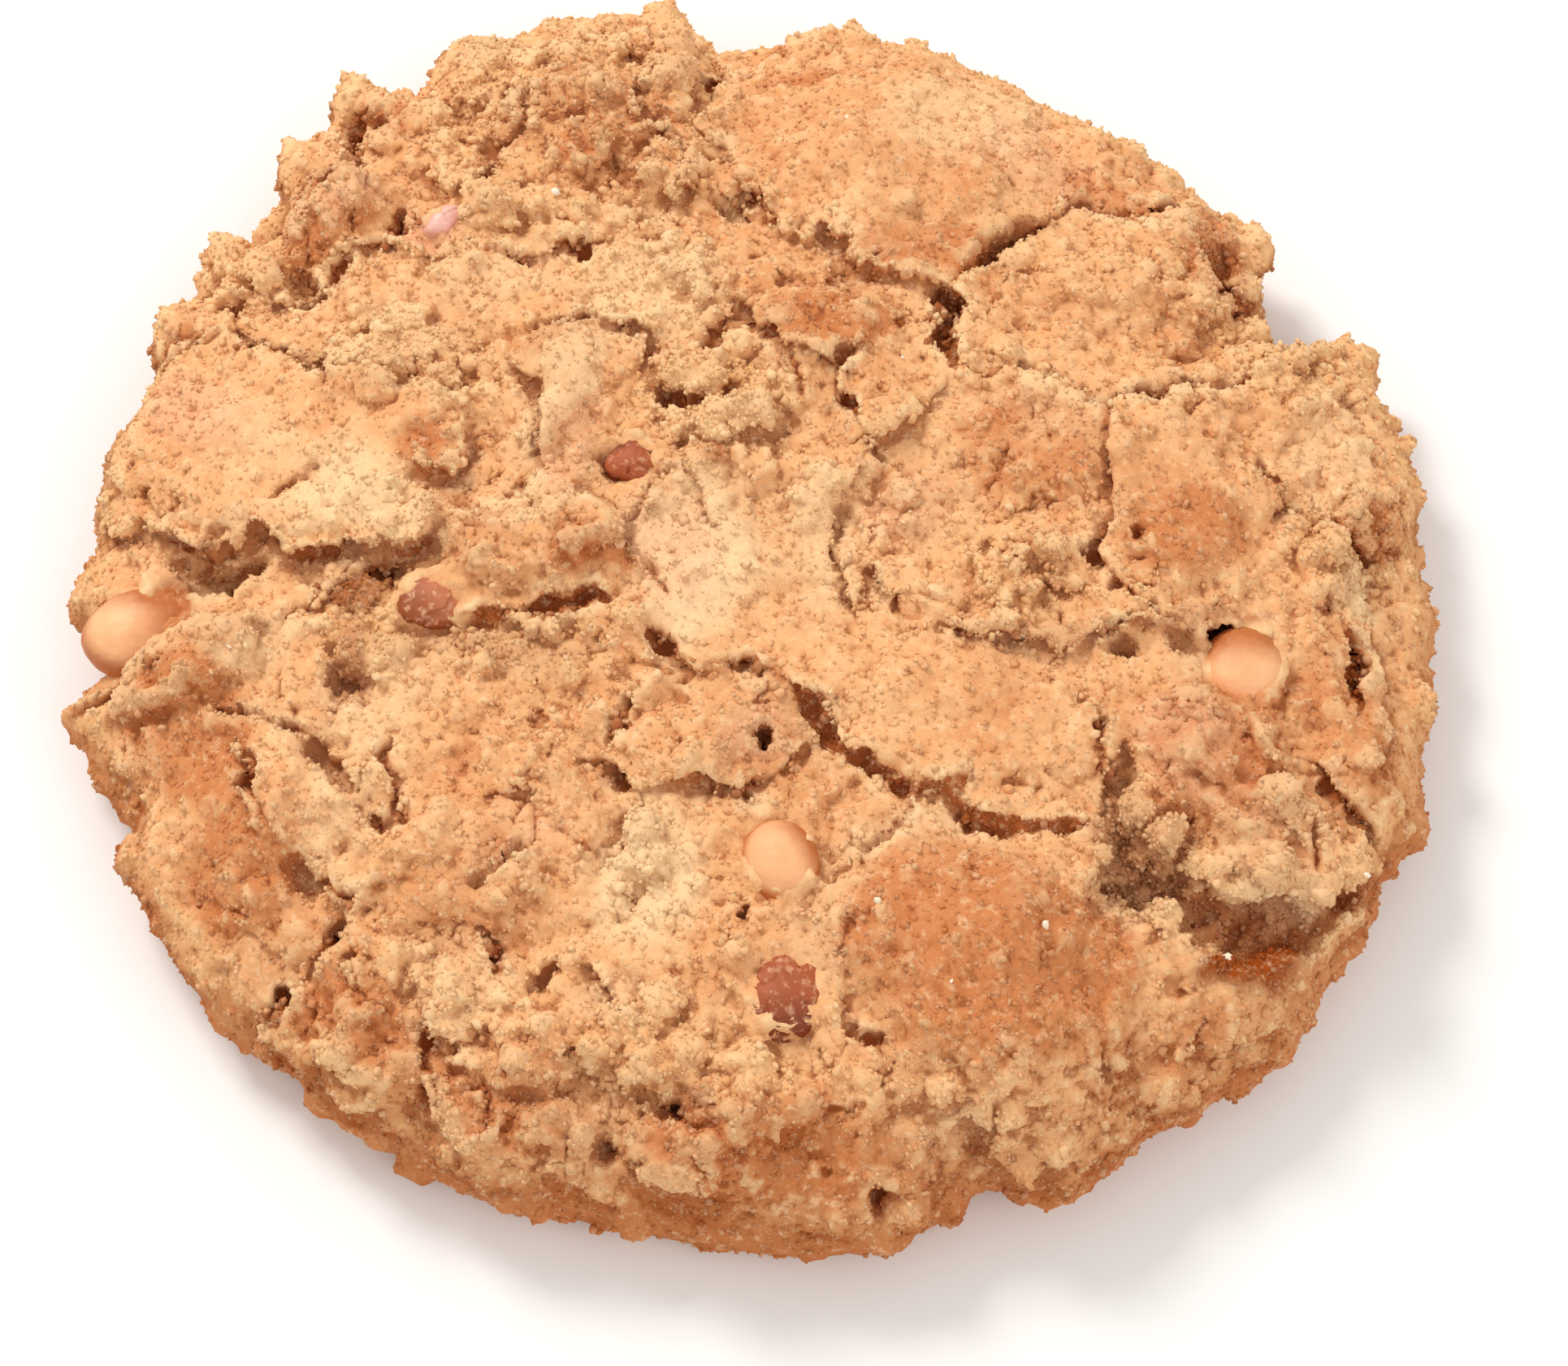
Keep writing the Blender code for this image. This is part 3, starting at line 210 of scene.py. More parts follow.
# Plates and lumps of crust: centre, half sizes, turn, rise, and how steep the edge is from 0 to 1.
PLATES = {
    "back plate": (13, 42, 16, 12.5, -8, 1.2, 0.6),
    "back left crags": (-17, 42, 14, 14, 0, 1.0, 0.3),
    "back left lump": (-16, 38.4, 3.6, 3.2, 20, 1.3, 0.5),
    "back lump": (-8, 36.8, 3.4, 2.8, 0, 1.1, 0.5),
    "crag, outer": (-24, 51, 5.0, 4.0, 20, 1.5, 0.5),
    "crag, back": (-16.6, 52.0, 4.2, 4.4, 0, 1.3, 0.5),
    "crag, back right": (-8.6, 50.6, 3.6, 4.6, 10, 1.1, 0.5),
    "crag, edge": (-38.2, 50.5, 3.0, 4.4, 30, 1.8, 0.5),
    "crag, side": (-45.0, 43.0, 3.4, 4.4, 35, 1.7, 0.5),
    "crag, low": (-49.8, 33.0, 3.4, 4.0, 35, 1.4, 0.5),
    "crag, lowest": (-53.6, 24.8, 3.0, 4.2, 15, 1.3, 0.5),
    "crag, middle": (-27.0, 39.4, 3.6, 4.2, 20, 1.4, 0.5),
    "crag, inner": (-24.1, 33.3, 4.2, 2.8, -10, 1.0, 0.5),
    "crag, ridge": (-37.0, 34.0, 6.6, 2.6, 32, 1.5, 0.5),
    "right back plate": (34, 29, 10.5, 8, 12, 1.1, 0.7),
    "brown cap": (6.4, 20.6, 7.4, 6.0, 5, 1.5, 0.6),
    "cap step": (11.6, 11.8, 4.2, 3.4, 40, 0.9, 0.7),
    "crumpled lump": (-4.7, 15.2, 4.6, 3.6, -12, 1.9, 0.65),
    "flap": (-2.6, 10.4, 5.2, 2.5, 14, 1.9, 0.8),
    "left flake": (-43.0, 9.4, 14.0, 9.4, -14, 1.2, 0.8),
    "left flake tip": (-31.6, 2.8, 4.4, 3.6, -24, 1.2, 0.8),
    "short flake": (-28.2, 9.9, 4.0, 4.4, -12, 1.0, 0.75),
    "crust over left chip": (-48.8, -10.6, 7.2, 4.4, 26, 2.6, 0.75),
    "bridge": (-17.6, -1.0, 8.6, 3.8, 4, 2.6, 0.6),
    "bridge knuckle": (-14.0, -3.0, 3.6, 2.4, 0, 1.3, 0.5),
    "bridge, left": (-27.6, 1.0, 3.6, 2.4, -20, 1.2, 0.6),
    "smooth ridge": (-38.2, 34.6, 4.6, 2.3, 27, 1.0, 0.35),
    "pale ridge": (-17.0, 12.5, 3.0, 8.6, -26, 1.3, 0.4),
    "pale ridge, foot": (-18.6, 3.6, 3.0, 2.4, 0, 0.9, 0.5),
    "middle plate": (-3.6, -3.6, 7.0, 7.4, 0, 0.6, 0.6),
    "right plate": (36.0, 4.4, 6.2, 8.8, 0, 1.0, 0.7),
    "right arc plate": (24.0, 9.0, 8.4, 6.4, 10, 0.9, 0.6),
    "inner right plate": (18.6, -17.4, 11.0, 7.4, -14, 1.1, 0.7),
    "outer right plate": (38.8, -19.4, 7.6, 6.8, -30, 1.6, 0.6),
    "right crumb heap": (45.0, -28.0, 7.4, 5.2, -34, 2.8, 0.6),
    "right edge plate": (51.0, -9.0, 4.0, 11.0, 8, 0.9, 0.6),
    "front dome": (18.6, -39.0, 14.4, 13.0, -14, 3.8, 0.35),
    "front left plate": (-20.5, -27.0, 7.6, 9.4, -24, 1.2, 0.7),
    "left front plate": (-45.4, -22.0, 8.6, 12.6, -12, 1.1, 0.7),
    "left step": (-36.6, -24.6, 4.0, 4.6, -30, 1.0, 0.75),
    "low middle plate": (-5.0, -19.4, 6.0, 4.8, 0, 0.9, 0.7),
    "pale front crumb": (-8.6, -30.5, 4.2, 6.8, 0, 0.7, 0.5),
    "steam hole rim": (0.3, -19.7, 2.1, 2.0, 0, 0.6, 0.4),
    "front knob": (-6.4, -53.0, 5.8, 3.6, -22, 2.0, 0.6),
    "front left lump": (-31.6, -44.6, 5.4, 4.6, -25, 1.6, 0.6),
    "front left lump, low": (-23.8, -49.6, 3.4, 4.4, 15, 1.5, 0.5),
    "front left lump, top": (-25.0, -42.2, 3.6, 3.2, -20, 1.4, 0.5),
    "front lump": (-17.4, -45.6, 4.2, 4.2, -10, 1.6, 0.6),
    "front lump, low": (-16.2, -52.6, 3.4, 3.4, 10, 1.6, 0.5),
    "front lump, right": (-9.4, -45.2, 3.8, 3.6, 20, 1.2, 0.5),
    "front lump, far right": (0.6, -50.2, 4.4, 4.2, -20, 1.4, 0.5),
    "front left wedge": (-33.0, -38.0, 3.2, 5.0, 20, 1.1, 0.7),
}

# Cracks: width, depth, how much higher the left side is, and the way the crack runs.
CRACKS = {
    "back, upper": (0.5, 2.0, 0.5, ((-2, 37), (0.5, 33.5), (2, 29.3))),
    "back, lower": (0.5, 2.0, 0.9, ((2, 29.3), (8.2, 29.8), (8.6, 27.3), (12.2, 26.7), (16.5, 24.5))),
    "back right, down": (0.7, 3.2, 0.3, ((16.0, 24.8), (18.1, 23.2), (17.2, 20.2), (18.0, 16.1))),
    "back right, end": (0.4, 1.5, 0.3, ((27.6, 34.1), (30, 36.4), (36, 36.0), (42, 35.0))),
    "cap, left arm": (0.4, 1.4, 0.3, ((3, 17.5), (6.8, 14.7))),
    "cap, right arm": (0.4, 1.4, 0.0, ((10.1, 17.8), (6.8, 14.7), (8.1, 12.7), (10.2, 8.7))),
    "cap, left side": (0.45, 1.6, 0.3, ((-1.0, 23.0), (0.6, 19.0), (3, 17.5), (3.6, 12.5))),
    "middle arc": (0.35, 1.0, -0.3, ((17.9, 16), (14, 9.1), (10.4, 6.6), (7.8, 2.8), (6, -2))),
    "right arc": (0.45, 1.8, -0.5, ((17.9, 16), (23.8, 16.4), (29, 13), (31.2, 12.7), (41, 16), (51, 22))),
    "right, long": (
        0.5, 2.1, 0.3, ((31.4, 14.9), (30.4, 8), (30.9, 2), (30.1, -1.4), (32.4, -4.8), (35.5, -7.9))),
    "right, short": (0.35, 1.2, 0.0, ((22.1, 8.6), (20, 3.4))),
    "middle, down": (0.5, 2.0, 0.3, ((5.5, -0.6), (7.1, -4.1), (8.6, -7.6))),
    "ledge": (0.4, 0.8, 0.7, ((10.8, -2.2), (11.2, -5.1), (16.5, -7.2))),
    "right hollow line": (0.35, 1.0, 0.6, ((14.0, -9.6), (21, -9.2), (26.6, -10), (32.7, -7), (35.5, -7.9))),
    "diagonal, upper": (
        0.8, 3.6, 0.5, ((1.9, -12.8), (4.7, -17), (6.2, -19.2), (9.8, -20.8), (13.6, -24.4))),
    "diagonal, lower": (0.7, 2.6, 0.7, ((13.6, -24.4), (17.4, -25.4), (23.2, -26.8), (27.4, -25.5))),
    "right branch": (0.5, 2.0, 0.4, ((27.1, -15.2), (29, -17.7), (27.8, -19.3), (30.4, -22.5), (31, -25))),
    "right edge, upper": (0.45, 1.6, 0.4, ((44.5, 10.2), (46, 7.3), (46.4, 4.4), (45.8, 2.6))),
    "right edge, lens": (0.6, 2.2, 0.4, ((50.8, -2.8), (50.9, -4.8), (52.4, -8.8), (51.5, -14.7))),
    "right edge, lower": (
        0.45, 1.6, 0.3, ((46.8, -19), (48, -20.4), (49.4, -23.1), (53.5, -25.8), (57, -27.5))),
    "right heap": (0.35, 1.2, 0.0, ((48.4, -26.4), (47.8, -29.6))),
    "left flake edge": (
        0.6, 2.0, 1.3, ((-58.4, 5.2), (-51.3, 1.0), (-47.7, -0.9), (-44.8, 1.0), (-43.2, 2.8),
                                        (-40.8, -0.5), (-34.4, -0.9), (-29.0, -0.3), (-28.5, 4.1))),
    "short flake edge": (0.5, 1.2, 0.9, ((-29.6, 7.2), (-26.7, 6.0), (-24.8, 8.1), (-24.6, 11.7))),
    "crags, middle": (0.5, 1.8, 0.3, ((-21.7, 47.4), (-20.4, 42.6), (-22.5, 40.2), (-24.6, 36.0))),
    "crags, right": (0.5, 1.8, -0.3, ((-10.2, 50.5), (-11.2, 45.4), (-9.6, 41.4), (-6.6, 39.0))),
    "crags, left": (0.5, 1.3, 0.3, ((-31.9, 56.9), (-30.3, 51.6), (-31.4, 47.0))),
    "crags, foot": (0.4, 1.6, 0.3, ((-3.3, 37.3), (-1.8, 34.5), (0.1, 31.9))),
    "heap, top": (0.3, 0.6, 0.2, ((35.2, -21.2), (39.3, -22.4), (43.5, -24.8), (46.3, -28.5))),
    "left crevice": (
        0.6, 2.2, 0.7, ((-41.7, -7.8), (-39.2, -6.3), (-36.6, -4.3), (-34.0, -2.6), (-30.6, -1.4))),
    "bridge shadow": (0.7, 1.6, 0.0, ((-30.5, -8), (-24.4, -8.6), (-21.2, -7.4), (-16, -6), (-11.2, -6.4))),
    "lump, left": (0.4, 1.4, 0.0, ((-8.8, 15.7), (-8.1, 13.2), (-5.9, 12), (-2.7, 13.1))),
    "flap shadow": (0.6, 1.8, 1.0, ((0.6, 8.4), (-3.9, 7.2), (-6.9, 6.8))),
    "middle, left": (0.4, 1.6, 0.0, ((-6.9, 6.8), (-6.7, 4.3), (-5, 1.9), (-3, 0.4))),
    "bridge end": (0.4, 1.4, 0.0, ((-9, 4.4), (-10.1, 0.4), (-10.7, -1.5), (-8.4, -6.2))),
    "middle shadow": (0.6, 1.4, 0.5, ((-9.5, -10), (-7.4, -11.4), (-4.2, -13.1), (1.9, -12.8))),
    "left front, long": (0.5, 2.0, -0.5, ((-47, -14.6), (-41.3, -16), (-37.4, -18))),
    "left front, tail": (0.5, 2.0, -0.5, ((-32.6, -24.5), (-30.5, -26.0), (-27.5, -25.5))),
    "left front, zigzag": (
        0.4, 1.5, 0.4, ((-42.6, -18.7), (-43.2, -20.1), (-42.4, -21.9), (-43.7, -22.9), (-40.9, -27.3))),
    "left front, dark": (0.6, 2.0, 0.5, ((-38, -29.5), (-33.2, -32), (-33.8, -33.0))),
    "left front, low": (0.5, 2.0, 0.5, ((-36.9, -37.6), (-39.5, -39.5), (-42, -42))),
    "left front, short": (0.4, 1.6, 0.0, ((-29.1, -18.5), (-29.8, -20.3), (-29.2, -24.3), (-28.1, -26.1))),
    "front, upper": (0.4, 1.4, 0.3, ((-10.7, -15.1), (-11.6, -17.6), (-12.4, -19))),
    "front, hook": (
        0.5, 1.9, 0.5, ((-14.9, -20.3), (-12.3, -22.1), (-10.4, -23.9), (-11, -26.4), (-13.1, -30.3))),
    "front, level": (0.45, 1.6, 0.4, ((-10.4, -23.9), (-6.4, -23.8), (-0.9, -24.8), (3, -23), (5, -19.5))),
    "front left, down": (0.45, 1.5, 0.4, ((-18.2, -27.5), (-20.7, -30.1), (-22.9, -32.1))),
    "front left, wide": (0.5, 2.0, -0.6, ((-23.7, -35), (-22.6, -37.3), (-21.4, -39.4))),
    "front left, end": (0.45, 1.6, 0.3, ((-14.4, -39.5), (-12.3, -41.5), (-11.0, -44.5))),
    "front, twig": (0.3, 1.0, 0.0, ((-26.5, -44.8), (-24.2, -43.9), (-21.5, -43.0))),
    "front, seam": (0.35, 1.2, 0.3, ((-27.4, -42.0), (-26.6, -46.0), (-25.6, -50.0))),
    "front, second seam": (0.35, 1.2, 0.3, ((-22.4, -46.5), (-21.8, -49.5), (-23.0, -53.5))),
    "dome, left": (
        0.45, 1.2, -0.3, ((9, -34), (7.5, -39.2), (7.1, -41), (7.6, -43.5), (10.7, -45), (10.2, -48.6))),
    "dome, right": (0.35, 0.9, 0.0, ((28, -44.6), (29.3, -47))),
    "dome, top": (0.5, 1.5, -0.5, ((5.5, -34), (9.3, -28.6), (13.6, -24.4))),
    "front rim": (0.5, 1.8, 0.4, ((19.1, -50), (19, -55), (19.4, -60))),
    "left flake back": (0.5, 1.6, -0.7, ((-56, 19.6), (-47, 21.4), (-38, 17.6), (-31, 14.4), (-24, 13.8))),
    "back left, low": (
        0.4, 1.0, 0.4, ((-52, 27.4), (-45, 25.2), (-41.4, 25.3), (-36, 30), (-30.7, 28.9), (-25.4, 27.1))),
    "back left, arc": (0.45, 1.3, 0.4, ((-23, 29), (-18.6, 27.4), (-15.5, 28.3), (-11, 31))),
    "back, radial": (0.4, 1.2, 0.3, ((-4, 56.4), (-3.6, 50), (-5, 44), (-2, 37))),
    "pale ridge side": (0.4, 1.3, 0.4, ((-21.5, 19), (-20, 12), (-18.6, 6), (-22.6, 2.4))),
    "crumb divide": (0.4, 1.2, 0.0, ((-21.5, 19), (-15, 21.5), (-10, 20), (-8.8, 15.7))),
}

# Wide rifts where the crust has come apart: half width, depth, and the way the rift runs.
RIFTS = {
    "front right": (2.9, 5.2, ((30.6, -20.2), (30.4, -25.8), (32.2, -30.4), (36.6, -33.6), (41.6, -35.2),
                               (46.4, -33.8), (51.6, -29.0))),
    "back right": (1.0, 3.2, ((16.8, 24.6), (21.4, 29.3), (24.3, 31.2), (27.6, 34.1))),
    "left trough": (1.1, 2.4, ((-37.4, -18.0), (-35.5, -21.1), (-32.6, -24.5))),
    "left slot": (1.0, 3.2, ((-33.8, -32.6), (-35.5, -35.2), (-36.9, -37.6))),
    "left slot, right": (0.7, 2.2, ((-31.3, -36.2), (-30.2, -40.4))),
    "level slot": (0.9, 2.6, ((-21.6, -39.4), (-18.6, -39.2), (-14.4, -39.5))),
    "left cave": (1.3, 4.6, ((-52.4, -0.6), (-48.6, -2.6), (-45.4, -2.4), (-42.6, -0.2))),
    "under the bridge": (2.2, 2.8, ((-31.6, -8.6), (-27.0, -9.2), (-22.4, -9.6), (-15.4, -10.5))),
    "left hollow": (1.9, 3.0, ((-33.6, -8.2), (-34.7, -11.0), (-34.2, -14.4))),
    "back left gully": (0.9, 3.0, ((-36.2, 43.0), (-37.6, 39.6), (-41.6, 35.0))),
    "right pocket": (1.4, 2.6, ((48.2, 3.9), (52.1, 2.7), (56.0, 1.2))),
}

# Hollows where crust is missing: centre, half sizes, turn, depth, then the way the crust leans over.
HOLLOWS = {
    "left notch": (-55.6, -12.2, 3.4, 1.0, 16, 3.0, 0, 0.0),
    "right chip cave": (42.2, -7.6, 4.1, 2.4, 0, 5.0, -90, 4.2),
    "beside the right chip": (36.8, -8.8, 2.6, 1.7, 20, 1.6, 0, 0.0),
    "right pit": (30.9, -10.2, 1.0, 0.9, 0, 2.6, 0, 0.0),
    "round hole": (-32.3, 33.0, 1.1, 1.8, 0, 4.6, 0, 0.0),
    "back left hollow, outer": (-35.8, 44.6, 2.2, 2.2, -20, 3.6, 0, 0.0),
    "back left hollow, side": (-42.0, 27.2, 1.4, 2.0, 0, 2.6, 0, 0.0),
    "left rim hollow": (-48.6, 26.2, 1.5, 1.1, 0, 2.4, 0, 0.0),
    "steam hole": (0.3, -19.7, 1.0, 0.95, 0, 4.0, 0, 0.0),
    "left front pit": (-38.4, -30.0, 2.1, 1.5, -30, 2.0, 0, 0.0),
    "lens hole": (34.2, 0.6, 0.5, 1.2, 0, 2.0, 0, 0.0),
    "knob gap": (-6.6, -50.0, 2.9, 0.9, -16, 3.2, 0, 0.0),
    "knob gap, side": (-11.8, -53.6, 1.3, 1.0, 0, 3.0, 0, 0.0),
    "rim hole": (11.4, -57.4, 1.6, 1.5, 0, 3.2, 0, 0.0),
    "right back pocket": (42.4, 29.6, 2.2, 4.4, 14, 2.8, 0, 0.0),
    "right back pit": (45.4, 26.4, 1.5, 1.7, 0, 3.4, 0, 0.0),
    "dark pit": (-1.3, -33.8, 0.8, 1.2, 10, 2.2, 0, 0.0),
    "back pit": (-2.3, 33.4, 1.6, 0.9, -20, 1.8, 0, 0.0),
}

# Where the crust is broken down to crumb: centre, half sizes, turn, and how rough from 0 to 1.
ROUGH_ZONES = (
    (-17, 42, 17, 15, 0, 0.45), (-31, 18, 11, 6, -15, 0.6),
    (23, -4, 6, 4.6, 0, 0.8), (-9.4, -29.6, 4, 6, 0, 0.35),
    (-20, -10, 10, 4, 6, 0.4), (33, -30, 5, 8, -40, 0.8), (52, 2, 7, 6, 0, 0.6), (44, 28, 9, 8, 0, 0.6),
    (-26, -44, 12, 9, -25, 0.35), (-6, -47, 12, 6, 0, 0.45), (-4, 13, 8, 7, 0, 0.7), (50, 20, 8, 6, 0, 0.5),
    (-44, 32, 10, 9, 0, 0.4), (48, -30, 9, 8, 0, 0.25), (-33, -8, 5, 6, 0, 0.6), (0, 4, 9, 6, 0, 0.2),
    (-9, 25, 8, 7, 0, 0.45), (24, -50, 16, 6, 0, 0.3), (10, 2, 5, 5, 0, 0.25), (-16, -17, 6, 5, 0, 0.3),
)
# Where the crust stays smooth, in the same form.
SMOOTH_ZONES = (
    (14, 43, 16, 11, -8, 0.6), (19, -38, 14, 12, -12, 0.6),
    (-42, 10, 12, 8, -14, 0.5), (38, 4, 7, 7, 0, 0.6),
    (-2, -5, 9, 8, 0, 0.6), (18.6, -17, 9, 6, -14, 0.4),
    (-46, -22, 8, 10, -30, 0.4), (-17, 10, 4, 8, -24, 0.5),
)

# Chips and nut pieces: centre, half sizes, turn in plan and tilt.
INCLUSIONS = {
    "chip_middle": ((2.3, -29.9, 17.2), (3.3, 3.8, 2.6), 20, 0),
    "chip_right": ((42.0, -11.4, 14.9), (3.8, 4.0, 2.8), 0, 0),
    "chip_left_rim": ((-53.4, -5.6, 10.3), (5.8, 4.1, 3.2), 14, 0),
    "chip_small": ((-10.8, 7.4, 17.4), (2.5, 2.5, 1.9), -10, 0),
    "chip_melted": ((2.5, -41.4, 16.2), (3.5, 4.2, 2.0), -15, 0),
    "nut_piece": ((-27.2, -5.3, 16.4), (3.9, 2.9, 2.0), 12, 14),
    "nut_bit_back": ((-28.0, 32.2, 16.6), (2.2, 1.5, 1.4), 30, 0),
}

# How the dough closes round them: the share of their height it meets them at, the side on which it
# climbs over them and by how much, and the depth of the groove round the rest.
SEATS = {
    "chip_middle": (0.56, -80, 0.2, 0.8),
    "chip_right": (0.56, -90, 0.5, 0.6),
    "chip_small": (0.50, 60, 1.0, 0.3),
    "chip_melted": (0.66, -90, 0.2, 0.0),
    "nut_piece": (0.58, 80, 1.2, 0.4),
    "nut_bit_back": (0.55, 120, 0.4, 0.2),
}


def smooth(value, start, end):
    """0 at start, 1 at end, eased between them."""
    share = np.clip((value - start) / (end - start), 0, 1)
    return share * share * (3 - 2 * share)


def swell(spot):
    return noise.noise(spot)


def ragged(spot):
    return noise.fractal(spot, 0.7, 2.0, 6)


def wavy(spot):
    return noise.fractal(spot, 0.9, 2.0, 3)


def billows(spot):
    return noise.turbulence(spot, 4, True, amplitude_scale=0.55, frequency_scale=2.1) - 0.45


def terraced(height, step):
    """Heights gathered into flat treads a step apart, with short steep risers between them."""
    treads = np.floor(height / step)
    return step * (treads + smooth(height / step - treads, *RISER))


def at_each(field, place, size, shift):
    """A noise field read at every place, with its swells about size apart."""
    spots = (place / size + shift).tolist()
    return np.fromiter((field(spot) for spot in spots), float, count=len(spots))


def clods(place, size, shift):
    """Packed clods: how near a place is to its own clod's middle and to the next clod, and its number."""
    near = np.empty(len(place))
    gap = np.empty(len(place))
    own = np.empty(len(place))
    for k, spot in enumerate((place / size + shift).tolist()):
        away, middles = noise.voronoi(spot)
        near[k] = away[0]
        gap[k] = away[1] - away[0]
        own[k] = noise.cell(middles[0] * 37.0)
    return near, gap, own


def ellipse(x, y, zone):
    """How far out each place is in the zone's ellipse: 0 at its centre and 1 on its edge."""
    centre_x, centre_y, half_x, half_y, turn = zone[:5]
    c, s = cos(radians(turn)), sin(radians(turn))
    along = (x - centre_x) * c + (y - centre_y) * s
    across = (y - centre_y) * c - (x - centre_x) * s
    return np.hypot(along / half_x, across / half_y)


def beside(x, y, path):
    """Where each place lies from the path: its distance, its side (left is plus), the share run, the way."""
    best = np.full(len(x), 1e9)
    side = np.ones(len(x))
    run = np.zeros(len(x))
    way = np.zeros((len(x), 2))
    last = len(path) - 1
    for k, ((ax, ay), (bx, by)) in enumerate(zip(path, path[1:])):
        dx, dy = bx - ax, by - ay
        share = np.clip(((x - ax) * dx + (y - ay) * dy) / (dx * dx + dy * dy), 0, 1)
        off_x, off_y = x - ax - share * dx, y - ay - share * dy
        away = np.hypot(off_x, off_y)
        closer = away < best
        best = np.where(closer, away, best)
        side = np.where(closer, np.sign(dx * (y - ay) - dy * (x - ax)), side)
        run = np.where(closer, (k + share) / last, run)
        way[closer] = (np.stack([off_x, off_y], axis=1) / np.maximum(away, 1e-6)[:, None])[closer]
    return best, side, run, way


def zone_mask(x, y, zones):
    """The strongest of the zones at each place, fading out towards their edges."""
    mask = np.zeros(len(x))
    for zone in zones:
        mask = np.maximum(mask, zone[5] * (1 - smooth(ellipse(x, y, zone), *ZONE_EDGE)))
    return mask


def rim_reach(angle):
    """The plan radius of the rim at each angle in radians, with ragged edges."""
    angles = np.array([row[0] for row in RIM], float)
    reach = np.array([row[1] for row in RIM], float)
    degrees = np.degrees(angle) % 360
    reach = np.interp(degrees, np.r_[angles, angles[0] + 360], np.r_[reach, reach[0]], period=360)
    around = np.stack([RADIUS * np.cos(angle), RADIUS * np.sin(angle), 0 * angle], axis=1)
    return reach + RIM_RAGGED * at_each(wavy, around, RIM_RAGGED_SIZE, 5.3)


def foot_reach(reach):
    """The rim's reach at the foot, where its lobes are rounded off."""
    return np.minimum(reach, reach + FOOT_ROUNDNESS * (RADIUS - reach))


def side_profile():
    """The cookie's section from the middle of the top to the underside: radius share, height, run."""
    turn = np.linspace(0, pi / 2, TOP_STEPS)
    share = np.sin(turn)
    top = WIDEST_AT + (HEIGHT - WIDEST_AT) * np.sqrt(np.clip(1 - share**TOP_ROUNDNESS, 0, 1))
    lower = np.linspace(0, pi / 2, LOW_STEPS)[1:]
    low_share = BASE_SHARE + (1 - BASE_SHARE) * np.cos(lower)
    low = WIDEST_AT - (WIDEST_AT - EDGE_LIFT) * np.sin(lower)
    share, height = np.r_[share, low_share], np.r_[top, low]
    run = np.r_[0, np.cumsum(np.hypot(np.diff(share) * RADIUS, np.diff(height)))]
    return share, height, run / run[-1]


def disc(grid):
    """Square grid places from -1 to 1, pushed out into a disc: radius from 0 to 1, and angle."""
    a, b = grid[:, 0], grid[:, 1]
    wide = np.abs(a) > np.abs(b)
    reach = np.where(wide, a, b)
    safe = np.where(reach == 0, 1, reach)
    turn = np.where(wide, pi / 4 * b / safe, pi / 2 - pi / 4 * a / safe)
    return np.abs(reach), np.where(reach < 0, turn + pi, turn)


# Where the crust baked browner, paler and pinker, where rift and hollow floors are greyer, partly grey
# crumb and partly painted shade, and where painted shade darkens hollows, caves and gaps: centre, half
# sizes, turn and strength.
BROWNED = (
    (6.5, 20.8, 6.8, 3.9, 0, 0.9), (11.1, 38.9, 13.6, 8.6, -10, 0.2), (4.1, 49.3, 5.4, 1.6, 15, 0.6),
    (14.6, 28.8, 7.9, 3.5, -5, 0.6), (32.5, 38.0, 4.3, 1.7, -20, 0.6), (42.1, 29.8, 4.3, 6.2, 0, 0.8),
    (-16.0, 38.4, 3.0, 2.2, 20, 0.85), (-7.4, 36.9, 3.3, 1.4, 0, 0.3), (-34.4, 44.6, 2.9, 3.9, 0, 0.75),
    (-39.7, 37.3, 3.6, 3.1, 20, 0.75), (-39.0, 31.4, 6.4, 2.3, 30, 0.6), (-53.8, 24.0, 3.9, 4.3, 40, 0.6),
    (-44.9, 9.7, 10.7, 4.7, -14, 0.2), (-28.2, 8.6, 3.6, 3.5, 0, 0.6), (-14.4, -2.9, 3.9, 2.2, 0, 0.85),
    (-23.7, 0.0, 4.3, 2.3, 0, 0.45), (-47.9, -16.8, 6.4, 9.0, 20, 0.75), (-43.8, -29.8, 6.4, 7.0, 0, 0.65),
    (-33.7, -43.2, 6.4, 4.7, -30, 0.7), (-19.2, -48.1, 5.7, 4.7, 0, 0.4), (-5.1, -53.9, 6.4, 3.9, -25, 0.65),
    (17.7, -37.8, 12.0, 10.6, -10, 0.7), (25.9, -38.3, 7.1, 7.0, 0, 0.85), (20.4, -43.8, 12.1, 3.9, 0, 0.7),
    (18.1, -16.0, 7.9, 6.2, 0, 0.2), (39.6, -20.0, 7.4, 9.6, -20, 0.5), (37.4, 0.7, 6.4, 4.7, 0, 0.6),
    (33.3, 5.2, 4.3, 4.7, 0, 0.45), (55.0, 3.8, 3.0, 3.0, 0, 0.8), (50.3, -16.7, 5.0, 12.5, 0, 0.45),
    (35.5, -46.9, 14.3, 4.7, 30, 0.5), (-22.1, -32.3, 6.4, 8.6, -30, 0.35), (0.2, -21.3, 4.3, 4.7, 0, 0.35),
    (25.3, -3.0, 5.0, 3.1, 0, 0.3), (24.0, 8.0, 7.0, 6.0, 0, 0.5), (-16.0, 41.0, 12.0, 9.0, 0, 0.45),
    (2.0, -54.0, 13.0, 5.6, 0, 0.75), (-25.0, -49.0, 14.0, 5.0, -28, 0.6), (44.0, -27.0, 7.0, 5.0, -20, 0.35),
    (-51.6, -4.4, 3.0, 1.8, 10, 0.8), (14.0, 3.0, 5.0, 5.0, 0, 0.25),
)
